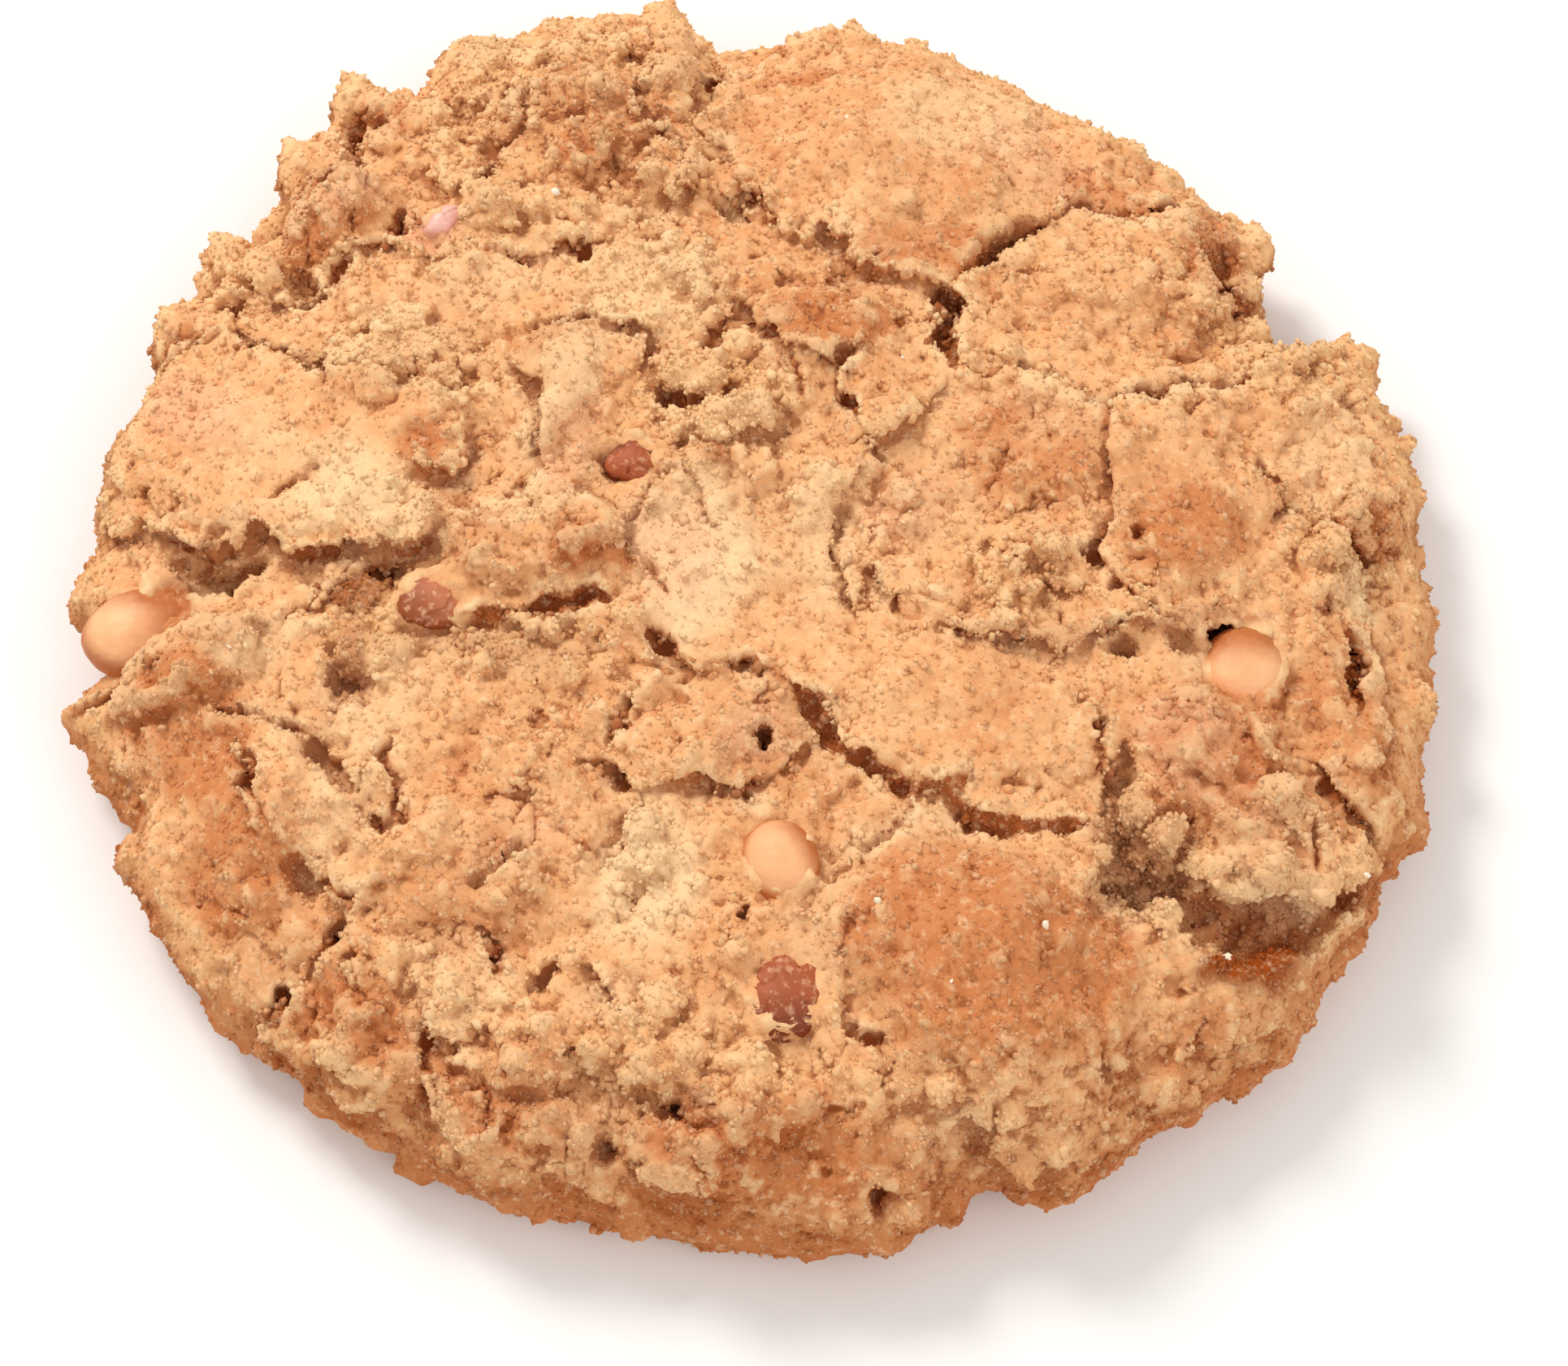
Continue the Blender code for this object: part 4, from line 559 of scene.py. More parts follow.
PALE = (
    (-5.4, -2.5, 6.8, 9.4, -10, 1.0), (5.7, -0.2, 4.3, 7.0, 0, 0.6), (-17.0, 13.5, 3.2, 8.6, -28, 0.8),
    (-9.3, 24.1, 7.1, 6.2, 0, 0.6), (-33.0, 19.7, 6.4, 4.7, 0, 0.6), (-34.4, 2.5, 7.9, 3.3, -10, 1.0),
    (-52.2, -4.0, 6.4, 2.0, 15, 0.8), (-9.2, -30.5, 5.4, 8.0, 0, 1.0), (14.2, 3.8, 5.7, 6.2, 0, 0.2),
    (24.3, 11.3, 6.4, 3.1, -5, 0.5), (43.4, -28.8, 5.0, 5.5, 0, 0.75), (11.8, -27.0, 6.4, 2.3, 15, 0.6),
    (30.0, -34.1, 2.9, 5.5, -30, 0.6), (5.6, -35.4, 3.6, 6.2, 0, 0.4), (-20.2, 1.9, 7.9, 2.0, 5, 0.8),
    (51.1, 9.9, 4.3, 7.0, 0, 0.5), (37.7, 33.2, 7.9, 1.6, -8, 0.7), (-2.0, 10.1, 6.4, 2.3, 15, 0.5),
    (-34.7, -25.4, 4.3, 4.7, -30, 0.5), (-43.8, -8.8, 6.4, 2.3, 10, 0.6), (37.7, -10.8, 2.9, 3.1, 0, 0.5),
    (-22.0, 53.2, 8.6, 3.1, 0, 0.5), (-22.4, 26.2, 7.9, 3.9, 0, 0.4), (-11.1, -42.0, 4.3, 3.1, 0, 0.5),
    (-24.7, -39.5, 5.0, 4.7, 0, 0.45), (-31.5, -15.5, 4.3, 7.0, 0, 0.5), (-34.6, 6.2, 6.0, 3.2, -14, 0.9),
    (19.0, 44.0, 8.0, 6.0, 0, 0.5), (-45.0, 10.0, 6.0, 4.0, -14, 0.4),
    (53.5, -1.9, 1.8, 3.2, 0, 1.0), (45.1, -32.6, 3.6, 1.4, 20, 0.9), (-11.6, 42.8, 3.0, 3.0, 0, 0.6),
    (-20.5, 45.0, 3.5, 2.5, 0, 0.6), (-9.6, 32.2, 3.0, 2.0, 0, 0.5), (16.3, -52.1, 3.0, 2.0, 0, 0.5),
)
# Greyer floors of rifts and hollows: partly grey crumb, partly painted shade.
GREY_AND_SHADED_ZONES = (
    (-19.2, -10.8, 5.0, 3.1, 5, 0.8), (-4.1, 2.2, 6.4, 4.7, 0, 0.35), (-17.0, 16.7, 3.6, 4.7, 0, 0.5),
    (-27.9, 18.0, 5.0, 3.9, 0, 0.4), (-13.3, 6.2, 4.3, 2.3, 0, 0.5), (0.3, -19.5, 4.3, 3.5, 0, 0.6),
    (32.2, -29.9, 4.3, 5.5, -30, 0.8), (-36.3, -19.2, 2.1, 3.9, -20, 0.9), (-33.8, -11.0, 1.6, 4.7, 0, 0.9),
    (-15.1, -50.7, 5.0, 4.7, 0, 0.6), (36.6, -8.8, 3.2, 2.4, 20, 0.9), (-34.4, -12.4, 2.6, 4.0, 0, 0.9),
    (30.8, -26.4, 3.4, 4.6, 0, 0.9), (-26.6, -9.4, 5.0, 2.6, 0, 0.9), (26.0, -9.6, 6.0, 2.0, 0, 0.7),
)
PINK = (
    (37.3, -19.6, 6.4, 5.0, -20, 0.8), (-49.8, 13.4, 6.0, 3.6, -14, 0.7), (-39.1, 34.0, 5.4, 2.4, 27, 0.9),
    (0.3, -19.7, 3.2, 2.8, 0, 1.0), (15.1, -36.6, 8.0, 5.0, 0, 0.5), (-7.5, -2.5, 5.0, 6.0, 0, 0.5),
    (-52.1, -14.0, 3.4, 5.0, 0, 0.4), (-16.1, 7.0, 3.0, 6.0, -24, 0.5), (26.0, 40.0, 8.0, 5.0, -30, 0.4),
    (-28.4, 31.4, 4.0, 3.0, 0, 0.8), (-20.0, -27.0, 5.0, 4.0, 0, 0.3), (14.0, 2.0, 4.0, 4.0, 0, 0.5),
)
# Painted shade: zones darkened where hollows, caves and gaps lie in shade.
PAINTED_SHADE_ZONES = (
    (42.4, -37.4, 5.4, 2.2, 14, 1.4), (24.8, 31.9, 2.8, 1.8, 30, 1.0), (-33.5, -10.7, 2.2, 3.2, 0, 0.9),
    (-33.4, -4.4, 3.6, 2.2, 20, 1.0), (-50.6, -2.7, 2.2, 1.6, 0, 0.7), (28.9, -27.0, 2.4, 1.8, 40, 0.8),
    (-6.2, -49.8, 2.2, 1.8, 0, 0.8), (-47.6, -0.4, 1.0, 2.4, -30, 0.9), (41.4, -7.6, 4.0, 1.0, 0, 0.8),
    (-34.9, -33.6, 1.6, 2.2, 0, 0.7), (35.6, -8.6, 2.2, 1.4, 20, 0.6), (-3.3, 6.6, 1.8, 1.4, 0, 0.7),
)

# Each mask of a tint or of painted shade, with its zones.
ZONES_OF_TINT_AND_SHADE = {"brown": BROWNED, "pale": PALE, "grey": GREY_AND_SHADED_ZONES, "dark": PAINTED_SHADE_ZONES, "pink": PINK}

# Coarse grains of sugar and salt: where they lie, and how large they are.
GRAINS = (
    (9.7, -34.3, 0.42), (24.0, -36.5, 0.46), (16.1, -41.7, 0.26), (-17.9, 33.7, 0.42), (52.3, -30.4, 0.28),
    (40.1, -37.4, 0.38), (8.6, 42.0, 0.26), (13.0, 17.5, 0.24), (-45.0, -10.5, 0.26),
)


def pushed(field, place, size, shifts):
    """A push in x, y and z at every place, each read at its own shift of the noise."""
    return np.stack([at_each(field, place, size, shift) for shift in shifts], axis=1)


def jagged(place):
    """Plan places pushed about, so that nothing drawn in the tables keeps a straight edge."""
    shake = pushed(ragged, place * (1, 1, 0), SHAKE_SIZE, (13.7, 41.3, 77.9))
    return place[:, 0] + SHAKE * shake[:, 0], place[:, 1] + SHAKE * shake[:, 1], shake


def roughness(x, y):
    """How far the crust is broken down to crumb at each place, from 0 to 1."""
    rough = USUAL_ROUGHNESS + zone_mask(x, y, ROUGH_ZONES) - zone_mask(x, y, SMOOTH_ZONES)
    return np.clip(rough, LEAST_ROUGHNESS, 1)


def shared_out(shares, value):
    """How much of a form there is: its first share where the value is 0, and both where it is 1."""
    return shares[0] + shares[1] * value


def opened(run, quickness, least):
    """How far a crack or rift has opened along its run: least at its two ends."""
    return np.clip(np.minimum(run, 1 - run) * quickness, least, 1)


def in_rift(away, half, ends):
    """1 inside a rift and 0 outside it, for places this far from its line."""
    return 1 - smooth(away, RIFT_EDGE[0] * half * ends, RIFT_EDGE[1] * half * ends)


def crust_forms(place, x, y, shake, top):
    """The swells, plates, crags, mounds and clods of the crust, and the loose floor of its hollows."""
    swayed = place + SWAY * pushed(wavy, place, SWAY_SIZE, (3.1, 23.9, 57.7))
    rough = np.where(top > 0.5, roughness(x, y), SIDE_ROUGHNESS)
    rise = sum(height * at_each(swell, place, size, shift) for height, size, shift in SWELLS)
    for plate in PLATES.values():
        edge = smooth(ellipse(x, y, plate), PLATE_EDGE[0] * plate[6], PLATE_EDGE[1])
        rise += plate[5] * (1 - edge) * top
    mound = at_each(billows, swayed, MOUND_SIZE, 5.5)
    crags = at_each(ragged, swayed, CRAG_SIZE, 73.1)
    stepped = terraced(CRAG_HEIGHT * crags, TREAD)
    crags = (1 - TERRACED_SHARE) * CRAG_HEIGHT * crags + TERRACED_SHARE * stepped
    crags = shared_out(CRAGS, rough) * crags * shared_out(UP_THE_SIDE, top)
    rise += crags + shared_out(MOUNDS, rough) * mound
    own = clods(place + SWAY * shake, CLOD_SIZE, 21.1)[2]
    rise += shared_out(CLODS, rough) * (own - 0.5)
    return rise, mound, FLOOR_MOUNDS * mound + FLOOR_CLODS * (own - 0.5)


def relief(place, top):
    """How far the dough stands out at each place, and how it leans over its hollows."""
    x, y, shake = jagged(place)
    rise, mound, floor = crust_forms(place, x, y, shake, top)
    lean = np.zeros((len(place), 2))
    wander = at_each(swell, place * (1, 1, 0), WANDER_SIZE, 51.7)
    for width, depth, step, path in CRACKS.values():
        away, side, run, way = beside(x, y, path)
        ends = np.sqrt(opened(run, *CRACK_ENDS))
        curl = np.exp(-(((away - CURL_AT) / CURL_WIDTH) ** 2))
        rise += (CURL * depth * curl + STEP_SHARE * step * ends * side * np.exp(-away / STEP_SPREAD)) * top
        over = np.clip(side * step, 0, 2) * np.exp(-away / OVERHANG_SPREAD) * ends * top
        lean -= OVERHANG * over[:, None] * way
        if width >= WIDE_CRACK:
            dug = CRACK_SHARE * depth * ends * np.clip(shared_out(WANDER, wander), LEAST_DUG, None)
            rise -= dug * (1 - smooth(away, CRACK_FLOOR * width, CRACK_SPREAD * width)) * top
    for half, depth, path in RIFTS.values():
        away, side, run, way = beside(x, y, path)
        ends = opened(run, *RIFT_ENDS)
        dish = 1 - RIFT_DISH * np.clip(away / half, 0, 1) ** 2
        sunk = floor - RIFT_SHARE * depth * dish * ends - RIFT_LEVELLED * rise
        rise += in_rift(away, half, ends) * top * sunk
    seat_dough(rise, place, place + NUDGE * shake, mound)
    for hollow in HOLLOWS.values():
        out = ellipse(x, y, hollow)
        beyond = (out - 1) * min(hollow[2], hollow[3])
        inside = 1 - smooth(beyond, *HOLLOW_EDGE)
        dish = (1 - HOLLOW_DISH) + HOLLOW_DISH * np.clip(1 - out * out, 0, 1)
        rise += inside * top * (floor - hollow[5] * dish - HOLLOW_LEVELLED * rise)
        lip = (1 - inside) * np.exp(-np.clip(beyond, 0, None) / LIP_SPREAD) * hollow[7]
        toward = np.array((cos(radians(hollow[6])), sin(radians(hollow[6]))))
        behind = (hollow[0] - x) * toward[0] + (hollow[1] - y) * toward[1]
        lean += (lip * top * smooth(behind, *LIP_BEHIND))[:, None] * toward
    return rise, lean


def seat_dough(rise, place, nudged, mound):
    """The dough meets each chip part way up, climbs over it on one side and keeps clear on the other."""
    for name, (share, side_on, climb, groove) in SEATS.items():
        (centre_x, centre_y, centre_z), half, turn, tilt = INCLUSIONS[name]
        out = ellipse(nudged[:, 0], nudged[:, 1], (centre_x, centre_y, half[0], half[1], turn))
        away_x, away_y = place[:, 0] - centre_x, place[:, 1] - centre_y
        facing = (away_x * cos(radians(side_on)) + away_y * sin(radians(side_on))) / half[0]
        level = centre_z + share * half[2] + climb * np.clip(facing, CLIMB_FROM, 1) - place[:, 2]
        shore = sqrt(1 - share * share)
        seat = 1 - smooth(out, shore, shore + SHORE)
        ring = np.exp(-(((out - shore) * half[0] / GROOVE_WIDTH) ** 2))
        moat = groove * ring * (1 - smooth(facing, *GROOVE_FADE))
        rise += seat * (level + SEAT_MOUNDS * mound - rise) - moat


def clear_of_chips(place):
    """Nearly nought over a chip or nut piece, and one away from it."""
    clear = np.ones(len(place))
    for centre, half, turn, tilt in INCLUSIONS.values():
        away = ellipse(place[:, 0], place[:, 1], (*centre[:2], *half[:2], turn))
        clear = np.minimum(clear, smooth(away, *CHIP_CLEAR))
    return clear + CHIP_STRAY


def fine_forms(place, rough, top):
    """The small clods, crags and mounds of the crust."""
    swayed = place + FINE_SWAY * pushed(wavy, place, FINE_SWAY_SIZE, (5.9, 37.1, 63.3))
    rise = np.zeros(len(place))
    for size, shift, shares, least, wide in FINE_CLODS:
        near, gap, own = clods(swayed, size, shift)
        rise += shared_out(shares, rough) * np.clip(own - least, 0, 1) * np.clip(wide - near, 0, 1)
    uneven = shared_out(FINE_CRAGS, rough) * at_each(ragged, swayed, FINE_CRAG_SIZE, 91.7)
    uneven += shared_out(FINE_MOUNDS, rough) * at_each(billows, swayed, FINE_MOUND_SIZE, 44.3)
    tiny = TINY_MOUNDS * at_each(billows, swayed, TINY_MOUND_SIZE, 17.7)
    uneven += tiny + TINY_CRAGS * at_each(ragged, swayed, TINY_CRAG_SIZE, 29.3)
    rise += uneven * shared_out(DOWN_THE_SIDE, top)
    return rise


def dig_cracks(rise, x, y, wander, top, sunk):
    """Digs the cracks, and gives how deep each place is cut and how near it is to a crack's mouth."""
    cut, fringe = np.zeros(len(x)), np.zeros(len(x))
    for width, depth, step, path in CRACKS.values():
        away, side, run, way = beside(x, y, path)
        ends = np.sqrt(opened(run, *CRACK_ENDS))
        wide = min(width, WIDE_CRACK) * ends * shared_out(FINE_WANDER, wander)
        wide = np.clip(wide, LEAST_WIDTH, None)
        deep = FINE_SHARE * depth * ends * np.clip(shared_out(WANDER, wander), LEAST_DEPTH, None)
        dug = deep * (1 - smooth(away, FINE_FLOOR * wide, FINE_MOUTH * wide)) * top
        cut = np.maximum(cut, dug * sunk if step >= LIFTED else dug)
        mouth = np.exp(-(((away - FINE_MOUTH * wide) / FRINGE_WIDTH) ** 2))
        fringe = np.maximum(fringe, ends * mouth * top)
        if width >= WIDE_CRACK or step >= LIFTED:
            dug = LEFT_TO_DIG * dug
        rise -= dug
    return cut, fringe


def gaps(x, y, top, sunk):
    """How deep the rifts and hollows cut each place, and where they lay broken dough bare."""
    cut, broken = np.zeros(len(x)), np.zeros(len(x))
    for half, depth, path in RIFTS.values():
        away, side, run, way = beside(x, y, path)
        inside = in_rift(away, half, opened(run, *RIFT_ENDS)) * top * sunk
        cut = np.maximum(cut, inside * depth * RIFT_CUT)
        broken = np.maximum(broken, inside)
    for hollow in HOLLOWS.values():
        beyond = (ellipse(x, y, hollow) - 1) * min(hollow[2], hollow[3])
        inside = (1 - smooth(beyond, *HOLLOW_EDGE)) * top * sunk
        cut = np.maximum(cut, inside * hollow[5] * HOLLOW_CUT)
        broken = np.maximum(broken, inside)
    return cut, broken


def patches(place, row, shift):
    """1 where a noise is high and 0 where it is low, by its size and the two heights."""
    size, start, end = row
    return smooth(at_each(swell, place, size, shift), start, end)


def hairs_and_pits(place, shake, rough, top):
    """Hairline cracks between clods of dried crust, and small pits."""
    level = place * (1, 1, 0)
    gap = clods(level + shake, HAIR_SIZE, 17.9)[1]
    hair = np.exp(-((gap / HAIR_WIDTH) ** 2)) * patches(level, HAIR_PATCHES, 71.1) * top
    hair *= patches(level, HAIR_STRETCHES, 11.3) * shared_out(HAIR_SHARE, smooth(rough, *HAIR_BROKEN))
    return hair, patches(place, (PIT_SIZE, *PIT_FROM), 23.9) * patches(place, PIT_PATCHES, 27.9)


def crumble(place, normal):
    """The finer relief, laid over the moulded dough along its normals, with what shows at each place."""
    x, y, shake = jagged(place)
    out = np.hypot(place[:, 0], place[:, 1]) / rim_reach(np.arctan2(place[:, 1], place[:, 0]))
    top = (1 - smooth(out, *RIM_FADE)) * smooth(place[:, 2], *SIDE_FADE)
    rough = np.where(top > 0.5, roughness(x, y), FINE_SIDE_ROUGHNESS)
    share, height, run = side_profile()
    line = np.interp(out, share[share.argsort()], height[share.argsort()])
    sunk = smooth(line - place[:, 2], *SUNK)
    wander = at_each(swell, place * (1, 1, 0), WANDER_SIZE, 51.7)

    rise = fine_forms(place, rough, top)
    cut, fringe = dig_cracks(rise, x, y, wander, top, sunk)
    gap_cut, broken = gaps(x, y, top, sunk)
    hair, pits = hairs_and_pits(place, shake, rough, top)
    rise -= HAIR_DEPTH * hair + PIT_DEPTH * pits
    cut = np.maximum(np.maximum(cut, gap_cut), np.maximum(HAIR_CUT * hair, PIT_CUT * pits))

    # The side's mask: browned at the foot, with painted shade reaching higher on the front than at the back.
    browned_and_shaded_to = BROWNED_AND_SHADED_TO - LESS_SHADE_AT_BACK * np.clip(place[:, 1] / RADIUS, -1, 1)
    side = 1 - smooth(place[:, 2], BAKED_FROM, browned_and_shaded_to)
    # The cut mask becomes painted shade in the crust's colour.
    masks = {"cut": cut, "broken": broken, "rough": rough, "side": side}
    for name, zones in ZONES_OF_TINT_AND_SHADE.items():
        masks[name] = zone_mask(x, y, zones) * top
    masks["pale"] = np.maximum(masks["pale"], FRINGE_PALE * fringe * smooth(wander, *FRINGE_FROM))

    settled = rise * smooth(place[:, 2], EDGE_LIFT, EDGE_LIFT + FOOT_HEIGHT) * shared_out(SETTLED, top)
    moved = place + normal * settled[:, None]
    moved[:, 2] = np.where(place[:, 2] > EDGE_LIFT, np.maximum(moved[:, 2], EDGE_LIFT), place[:, 2])
    return moved, masks


def standing(place):
    """How far each place stands out of the level round it, over a narrow, a middling and a wide reach."""
    cells = np.round((place[:, :2] + SPAN / 2) / CELL).astype(int)
    count = int(SPAN / CELL) + 1
    highest = np.zeros((count, count))
    top = smooth(place[:, 2], *CREST_FROM)
    upper = top > CREST_LEAST
    np.maximum.at(highest, (cells[upper, 0], cells[upper, 1]), place[upper, 2])
    covered = (highest > 0).astype(float)
    for name, millimetres in CRESTS.items():
        across = max(1, round(millimetres / CELL))
        level = blurred(highest, across) / np.maximum(blurred(covered, across), 1e-6)
        yield name, (place[:, 2] - level[cells[:, 0], cells[:, 1]]) * top


def dough_places(grid):
    """The crust over the top and down the side, for grid places from -1 to 1."""
    out, angle = disc(grid)
    share, height, run = side_profile()
    reach = rim_reach(angle)
    base = np.interp(out, run, height)
    low = 1 - smooth(base, EDGE_LIFT, WIDEST_AT)
    radius = np.interp(out, run, share) * (reach + low * (foot_reach(reach) - reach))
    across, up = np.gradient(share) * RADIUS, np.gradient(height)
    length = np.hypot(across, up)
    lean_out = np.interp(out, run, -up / length)
    lean_up = np.interp(out, run, across / length)
    flat = np.stack([np.cos(angle), np.sin(angle)], axis=1)
    place = np.column_stack([flat * radius[:, None], base])
    rise, lean = relief(place, smooth(base, *TOP_FROM))
    rise = rise * smooth(base, EDGE_LIFT, EDGE_LIFT + FOOT_HEIGHT)
    place[:, :2] += flat * (lean_out * rise)[:, None] + lean
    place[:, 2] += lean_up * rise
    place[:, 2] = np.maximum(place[:, 2], EDGE_LIFT)
    return place


def underside_places(grid):
    """The flat underside, a little pitted where the dough lay on its tray: ring by ring to the middle."""
    angle = disc(grid[:, :2])[1]
    out = 1 + grid[:, 2] / (UNDER_RINGS + 1)
    radius = out * (foot_reach(rim_reach(angle)) * BASE_SHARE - EDGE_LIFT)
    flat = np.stack([radius * np.cos(angle), radius * np.sin(angle), 0 * radius], axis=1)
    dent = np.clip(at_each(ragged, flat, DENT_SIZE, 3.1), 0, 1)
    dent = dent + patches(flat, (PIT_MARK_SIZE, *PIT_MARKS), 7.7)
    flat[:, 2] = UNDER_DEPTH * dent * smooth(1 - out, *UNDER_FROM)
    return flat


def blurred(field, cells):
    """A square field smoothed over this many cells each way, by three running means."""
    for axis in (0, 1) * 3:
        margins = [(cells + 1, cells) if a == axis else (0, 0) for a in (0, 1)]
        total = np.cumsum(np.pad(field, margins, mode="edge"), axis=axis)
        ahead = np.take(total, range(2 * cells + 1, total.shape[axis]), axis=axis)
        behind = np.take(total, range(total.shape[axis] - 2 * cells - 1), axis=axis)
        field = (ahead - behind) / (2 * cells + 1)
    return field


def only(thing):
    """Leaves one object selected and active, in object mode."""
    bpy.ops.object.select_all(action="DESELECT")
    thing.select_set(True)
    bpy.context.view_layer.objects.active = thing


def applied(thing, kind, **settings):
    """Adds a modifier with these settings and applies it."""
    only(thing)
    modifier = thing.modifiers.new(kind, kind)
    for setting, value in settings.items():
        setattr(modifier, setting, value)
    bpy.ops.object.modifier_apply(modifier=modifier.name)


def moulded(thing, places):
    """Moves every point of the mesh to its place, in metres."""
    thing.data.vertices.foreach_set("co", np.ascontiguousarray(places, dtype=np.float32).ravel())
    thing.data.update()


def rows_of(thing, kind):
    """The place ("co") or the normal of every point, as rows."""
    values = np.empty(len(thing.data.vertices) * 3, np.float32)
    thing.data.vertices.foreach_get(kind, values)
    return values.reshape(-1, 3).astype(float)


def kept(layer):
    """The value that a layer keeps for each point."""
    values = np.empty(len(layer.data), np.float32)
    layer.data.foreach_get("value", values)
    return values


def keep(mesh, name, values):
    """Keeps a value for each point of the mesh, for the materials to read."""
    mesh.attributes.new(name, "FLOAT", "POINT").data.foreach_set("value", values.astype(np.float32))


def skirted_grid():
    """A fine grid from -1 to 1, with a skirt of rings pulled down from its edge and closed below."""
    bpy.ops.object.select_all(action="DESELECT")
    bpy.ops.mesh.primitive_grid_add(x_subdivisions=GRID, y_subdivisions=GRID, size=2)
    thing = bpy.context.active_object
    thing.name = "cookie_crust"
    bpy.ops.object.mode_set(mode="EDIT")
    bpy.ops.mesh.select_all(action="SELECT")
    bpy.ops.mesh.region_to_loop()
    for ring in range(UNDER_RINGS):
        bpy.ops.mesh.extrude_region_move(TRANSFORM_OT_translate={"value": (0, 0, -1)})
    bpy.ops.mesh.edge_face_add()
    bpy.ops.mesh.select_all(action="SELECT")
    bpy.ops.mesh.normals_make_consistent(inside=False)
    bpy.ops.object.mode_set(mode="OBJECT")
    return thing


def crust():
    """The dough's skin: a grid drawn out into a disc, its skirt the underside, with lumps and relief."""
    thing = skirted_grid()
    grid = rows_of(thing, "co")
    top = grid[:, 2] > -0.5
    every = np.empty_like(grid)
    every[top] = dough_places(grid[top, :2])
    every[~top] = underside_places(grid[~top])
    moulded(thing, every * MM)
    heaped = lumps(thing)
    only(thing)
    heaped.select_set(True)
    bpy.ops.object.join()
    applied(thing, "REMESH", mode="VOXEL", voxel_size=VOXEL * MM)
    moved, masks = crumble(rows_of(thing, "co") / MM, rows_of(thing, "normal"))
    masks.update(standing(moved))
    for name, mask in masks.items():
        keep(thing.data, name, mask)
    moulded(thing, moved * MM)
    triangles = sum(len(face.vertices) - 2 for face in thing.data.polygons)
    applied(thing, "DECIMATE", ratio=CRUST_TRIANGLES / triangles, use_collapse_triangulate=True)
    moulded(thing, np.maximum(rows_of(thing, "co"), (-1, -1, 0)))
    bpy.ops.object.shade_smooth()
    return thing


def lumps(host):
    """Lumps of crumb heaped on the dough, half sunk, most where the crust is broken."""
    points = rows_of(host, "co") / MM
    x, y, shake = jagged(points)
    chance = np.clip(roughness(x, y) - LUMP_ROUGHNESS, LUMP_LEAST, 1) ** LUMP_POWER
    chance = np.where(points[:, 2] > LOW_DOWN, chance, LUMPS_LOW_DOWN)
    chance = chance * (points[:, 2] > LUMPS_ABOVE) * clear_of_chips(points)
    chosen, size = strewn(LUMPS, chance, LUMP_SIZE)
    return scattered("crumb_lumps", host, ball_shape(2), chosen, size, LUMP_SINK, LUMP_DENTS)


def skin_places(name, ball):
    """The surface of a chip or nut piece for the places on a unit ball."""
    centre, half, turn, tilt = INCLUSIONS[name]
    uneven = ball + np.array(centre)
    form = 1 + UNEVEN * at_each(swell, uneven, UNEVEN_SIZE, 7.1)
    form = form + FINE_UNEVEN * at_each(ragged, uneven, FINE_UNEVEN_SIZE, 3.3)
    if name == "chip_small":
        corners = np.cos(3 * np.arctan2(ball[:, 1], ball[:, 0]) + pi / 2)
        form += TRIANGULAR * corners * (1 - ball[:, 2] ** 2)
    if name in CHIPPED:
        near, gap, own = clods(uneven, FACET_SIZE, 5.7)
        form = form * (1 + FACET_STEP * (own - 0.5) - FACET_DISH * near)
    turned = Matrix.Rotation(radians(turn), 3, "Z") @ Matrix.Rotation(radians(tilt), 3, "Y")
    return ball * np.array(half) * form[:, None] @ np.array(turned).T + np.array(centre)


def inclusion(name):
    """A chip or nut piece, with painted shade at each place: on one side and on its low part where the dough
    closes round it.
    """
    bpy.ops.object.select_all(action="DESELECT")
    bpy.ops.mesh.primitive_ico_sphere_add(subdivisions=SKIN_ROUNDS, radius=1)
    thing = bpy.context.active_object
    thing.name = name + "_skin"
    ball = rows_of(thing, "co")
    # Painted shade on the low part and on one side, kept for the material to darken.
    low = 1 - smooth(ball[:, 2], *SHADED_LOW)
    side, start = SHADED_SIDES[name]
    toward = ball[:, 0] * cos(radians(side)) + ball[:, 1] * sin(radians(side))
    keep(thing.data, "baked_and_shaded", np.maximum(low, smooth(toward, start, start + SHADE_SPREAD)))
    moulded(thing, skin_places(name, ball) * MM)
    bpy.ops.object.shade_smooth()
    return thing


def strewn(count, chance, sizes):
    """Which points of the crust get a piece, with their chances, and how large each piece is."""
    chosen = rng.choice(len(chance), size=count, replace=False, p=chance / chance.sum())
    return chosen, sizes[0] + (sizes[1] - sizes[0]) * rng.random(count) ** SMALL_ONES


def scattered(name, host, shape, chosen, size, sink, dents=DENTS):
    """Small pieces on these points of the crust, each turned and squeezed its own way, as one mesh."""
    count = len(chosen)
    ball, faces = shape
    stretch = rng.uniform(*STRETCH, (count, 1, 3))
    dented = 1 + rng.uniform(-dents, dents, (count, len(ball), 1))
    spun = np.linalg.qr(rng.normal(size=(count, 3, 3)))[0]
    spun[:, :, 0] *= np.sign(np.linalg.det(spun))[:, None]
    shapes = np.einsum("nij,nvj->nvi", spun, ball[None] * stretch * dented) * size[:, None, None]
    centres = rows_of(host, "co")[chosen] / MM + rows_of(host, "normal")[chosen] * (size * sink)[:, None]
    places = (shapes + centres[:, None]).reshape(-1, 3)
    every = (faces[None] + len(ball) * np.arange(count)[:, None, None]).reshape(-1, 3)
    mesh = bpy.data.meshes.new(name)
    mesh.from_pydata((places * MM).tolist(), [], every.tolist())
    for layer in host.data.attributes:
        if layer.data_type == "FLOAT" and layer.domain == "POINT":
            keep(mesh, layer.name, np.repeat(kept(layer)[chosen], len(ball)))
    keep(mesh, "tone", np.repeat(rng.uniform(-1, 1, count), len(ball)))
    mesh.shade_smooth()
    thing = bpy.data.objects.new(name, mesh)
    bpy.context.scene.collection.objects.link(thing)
    return thing


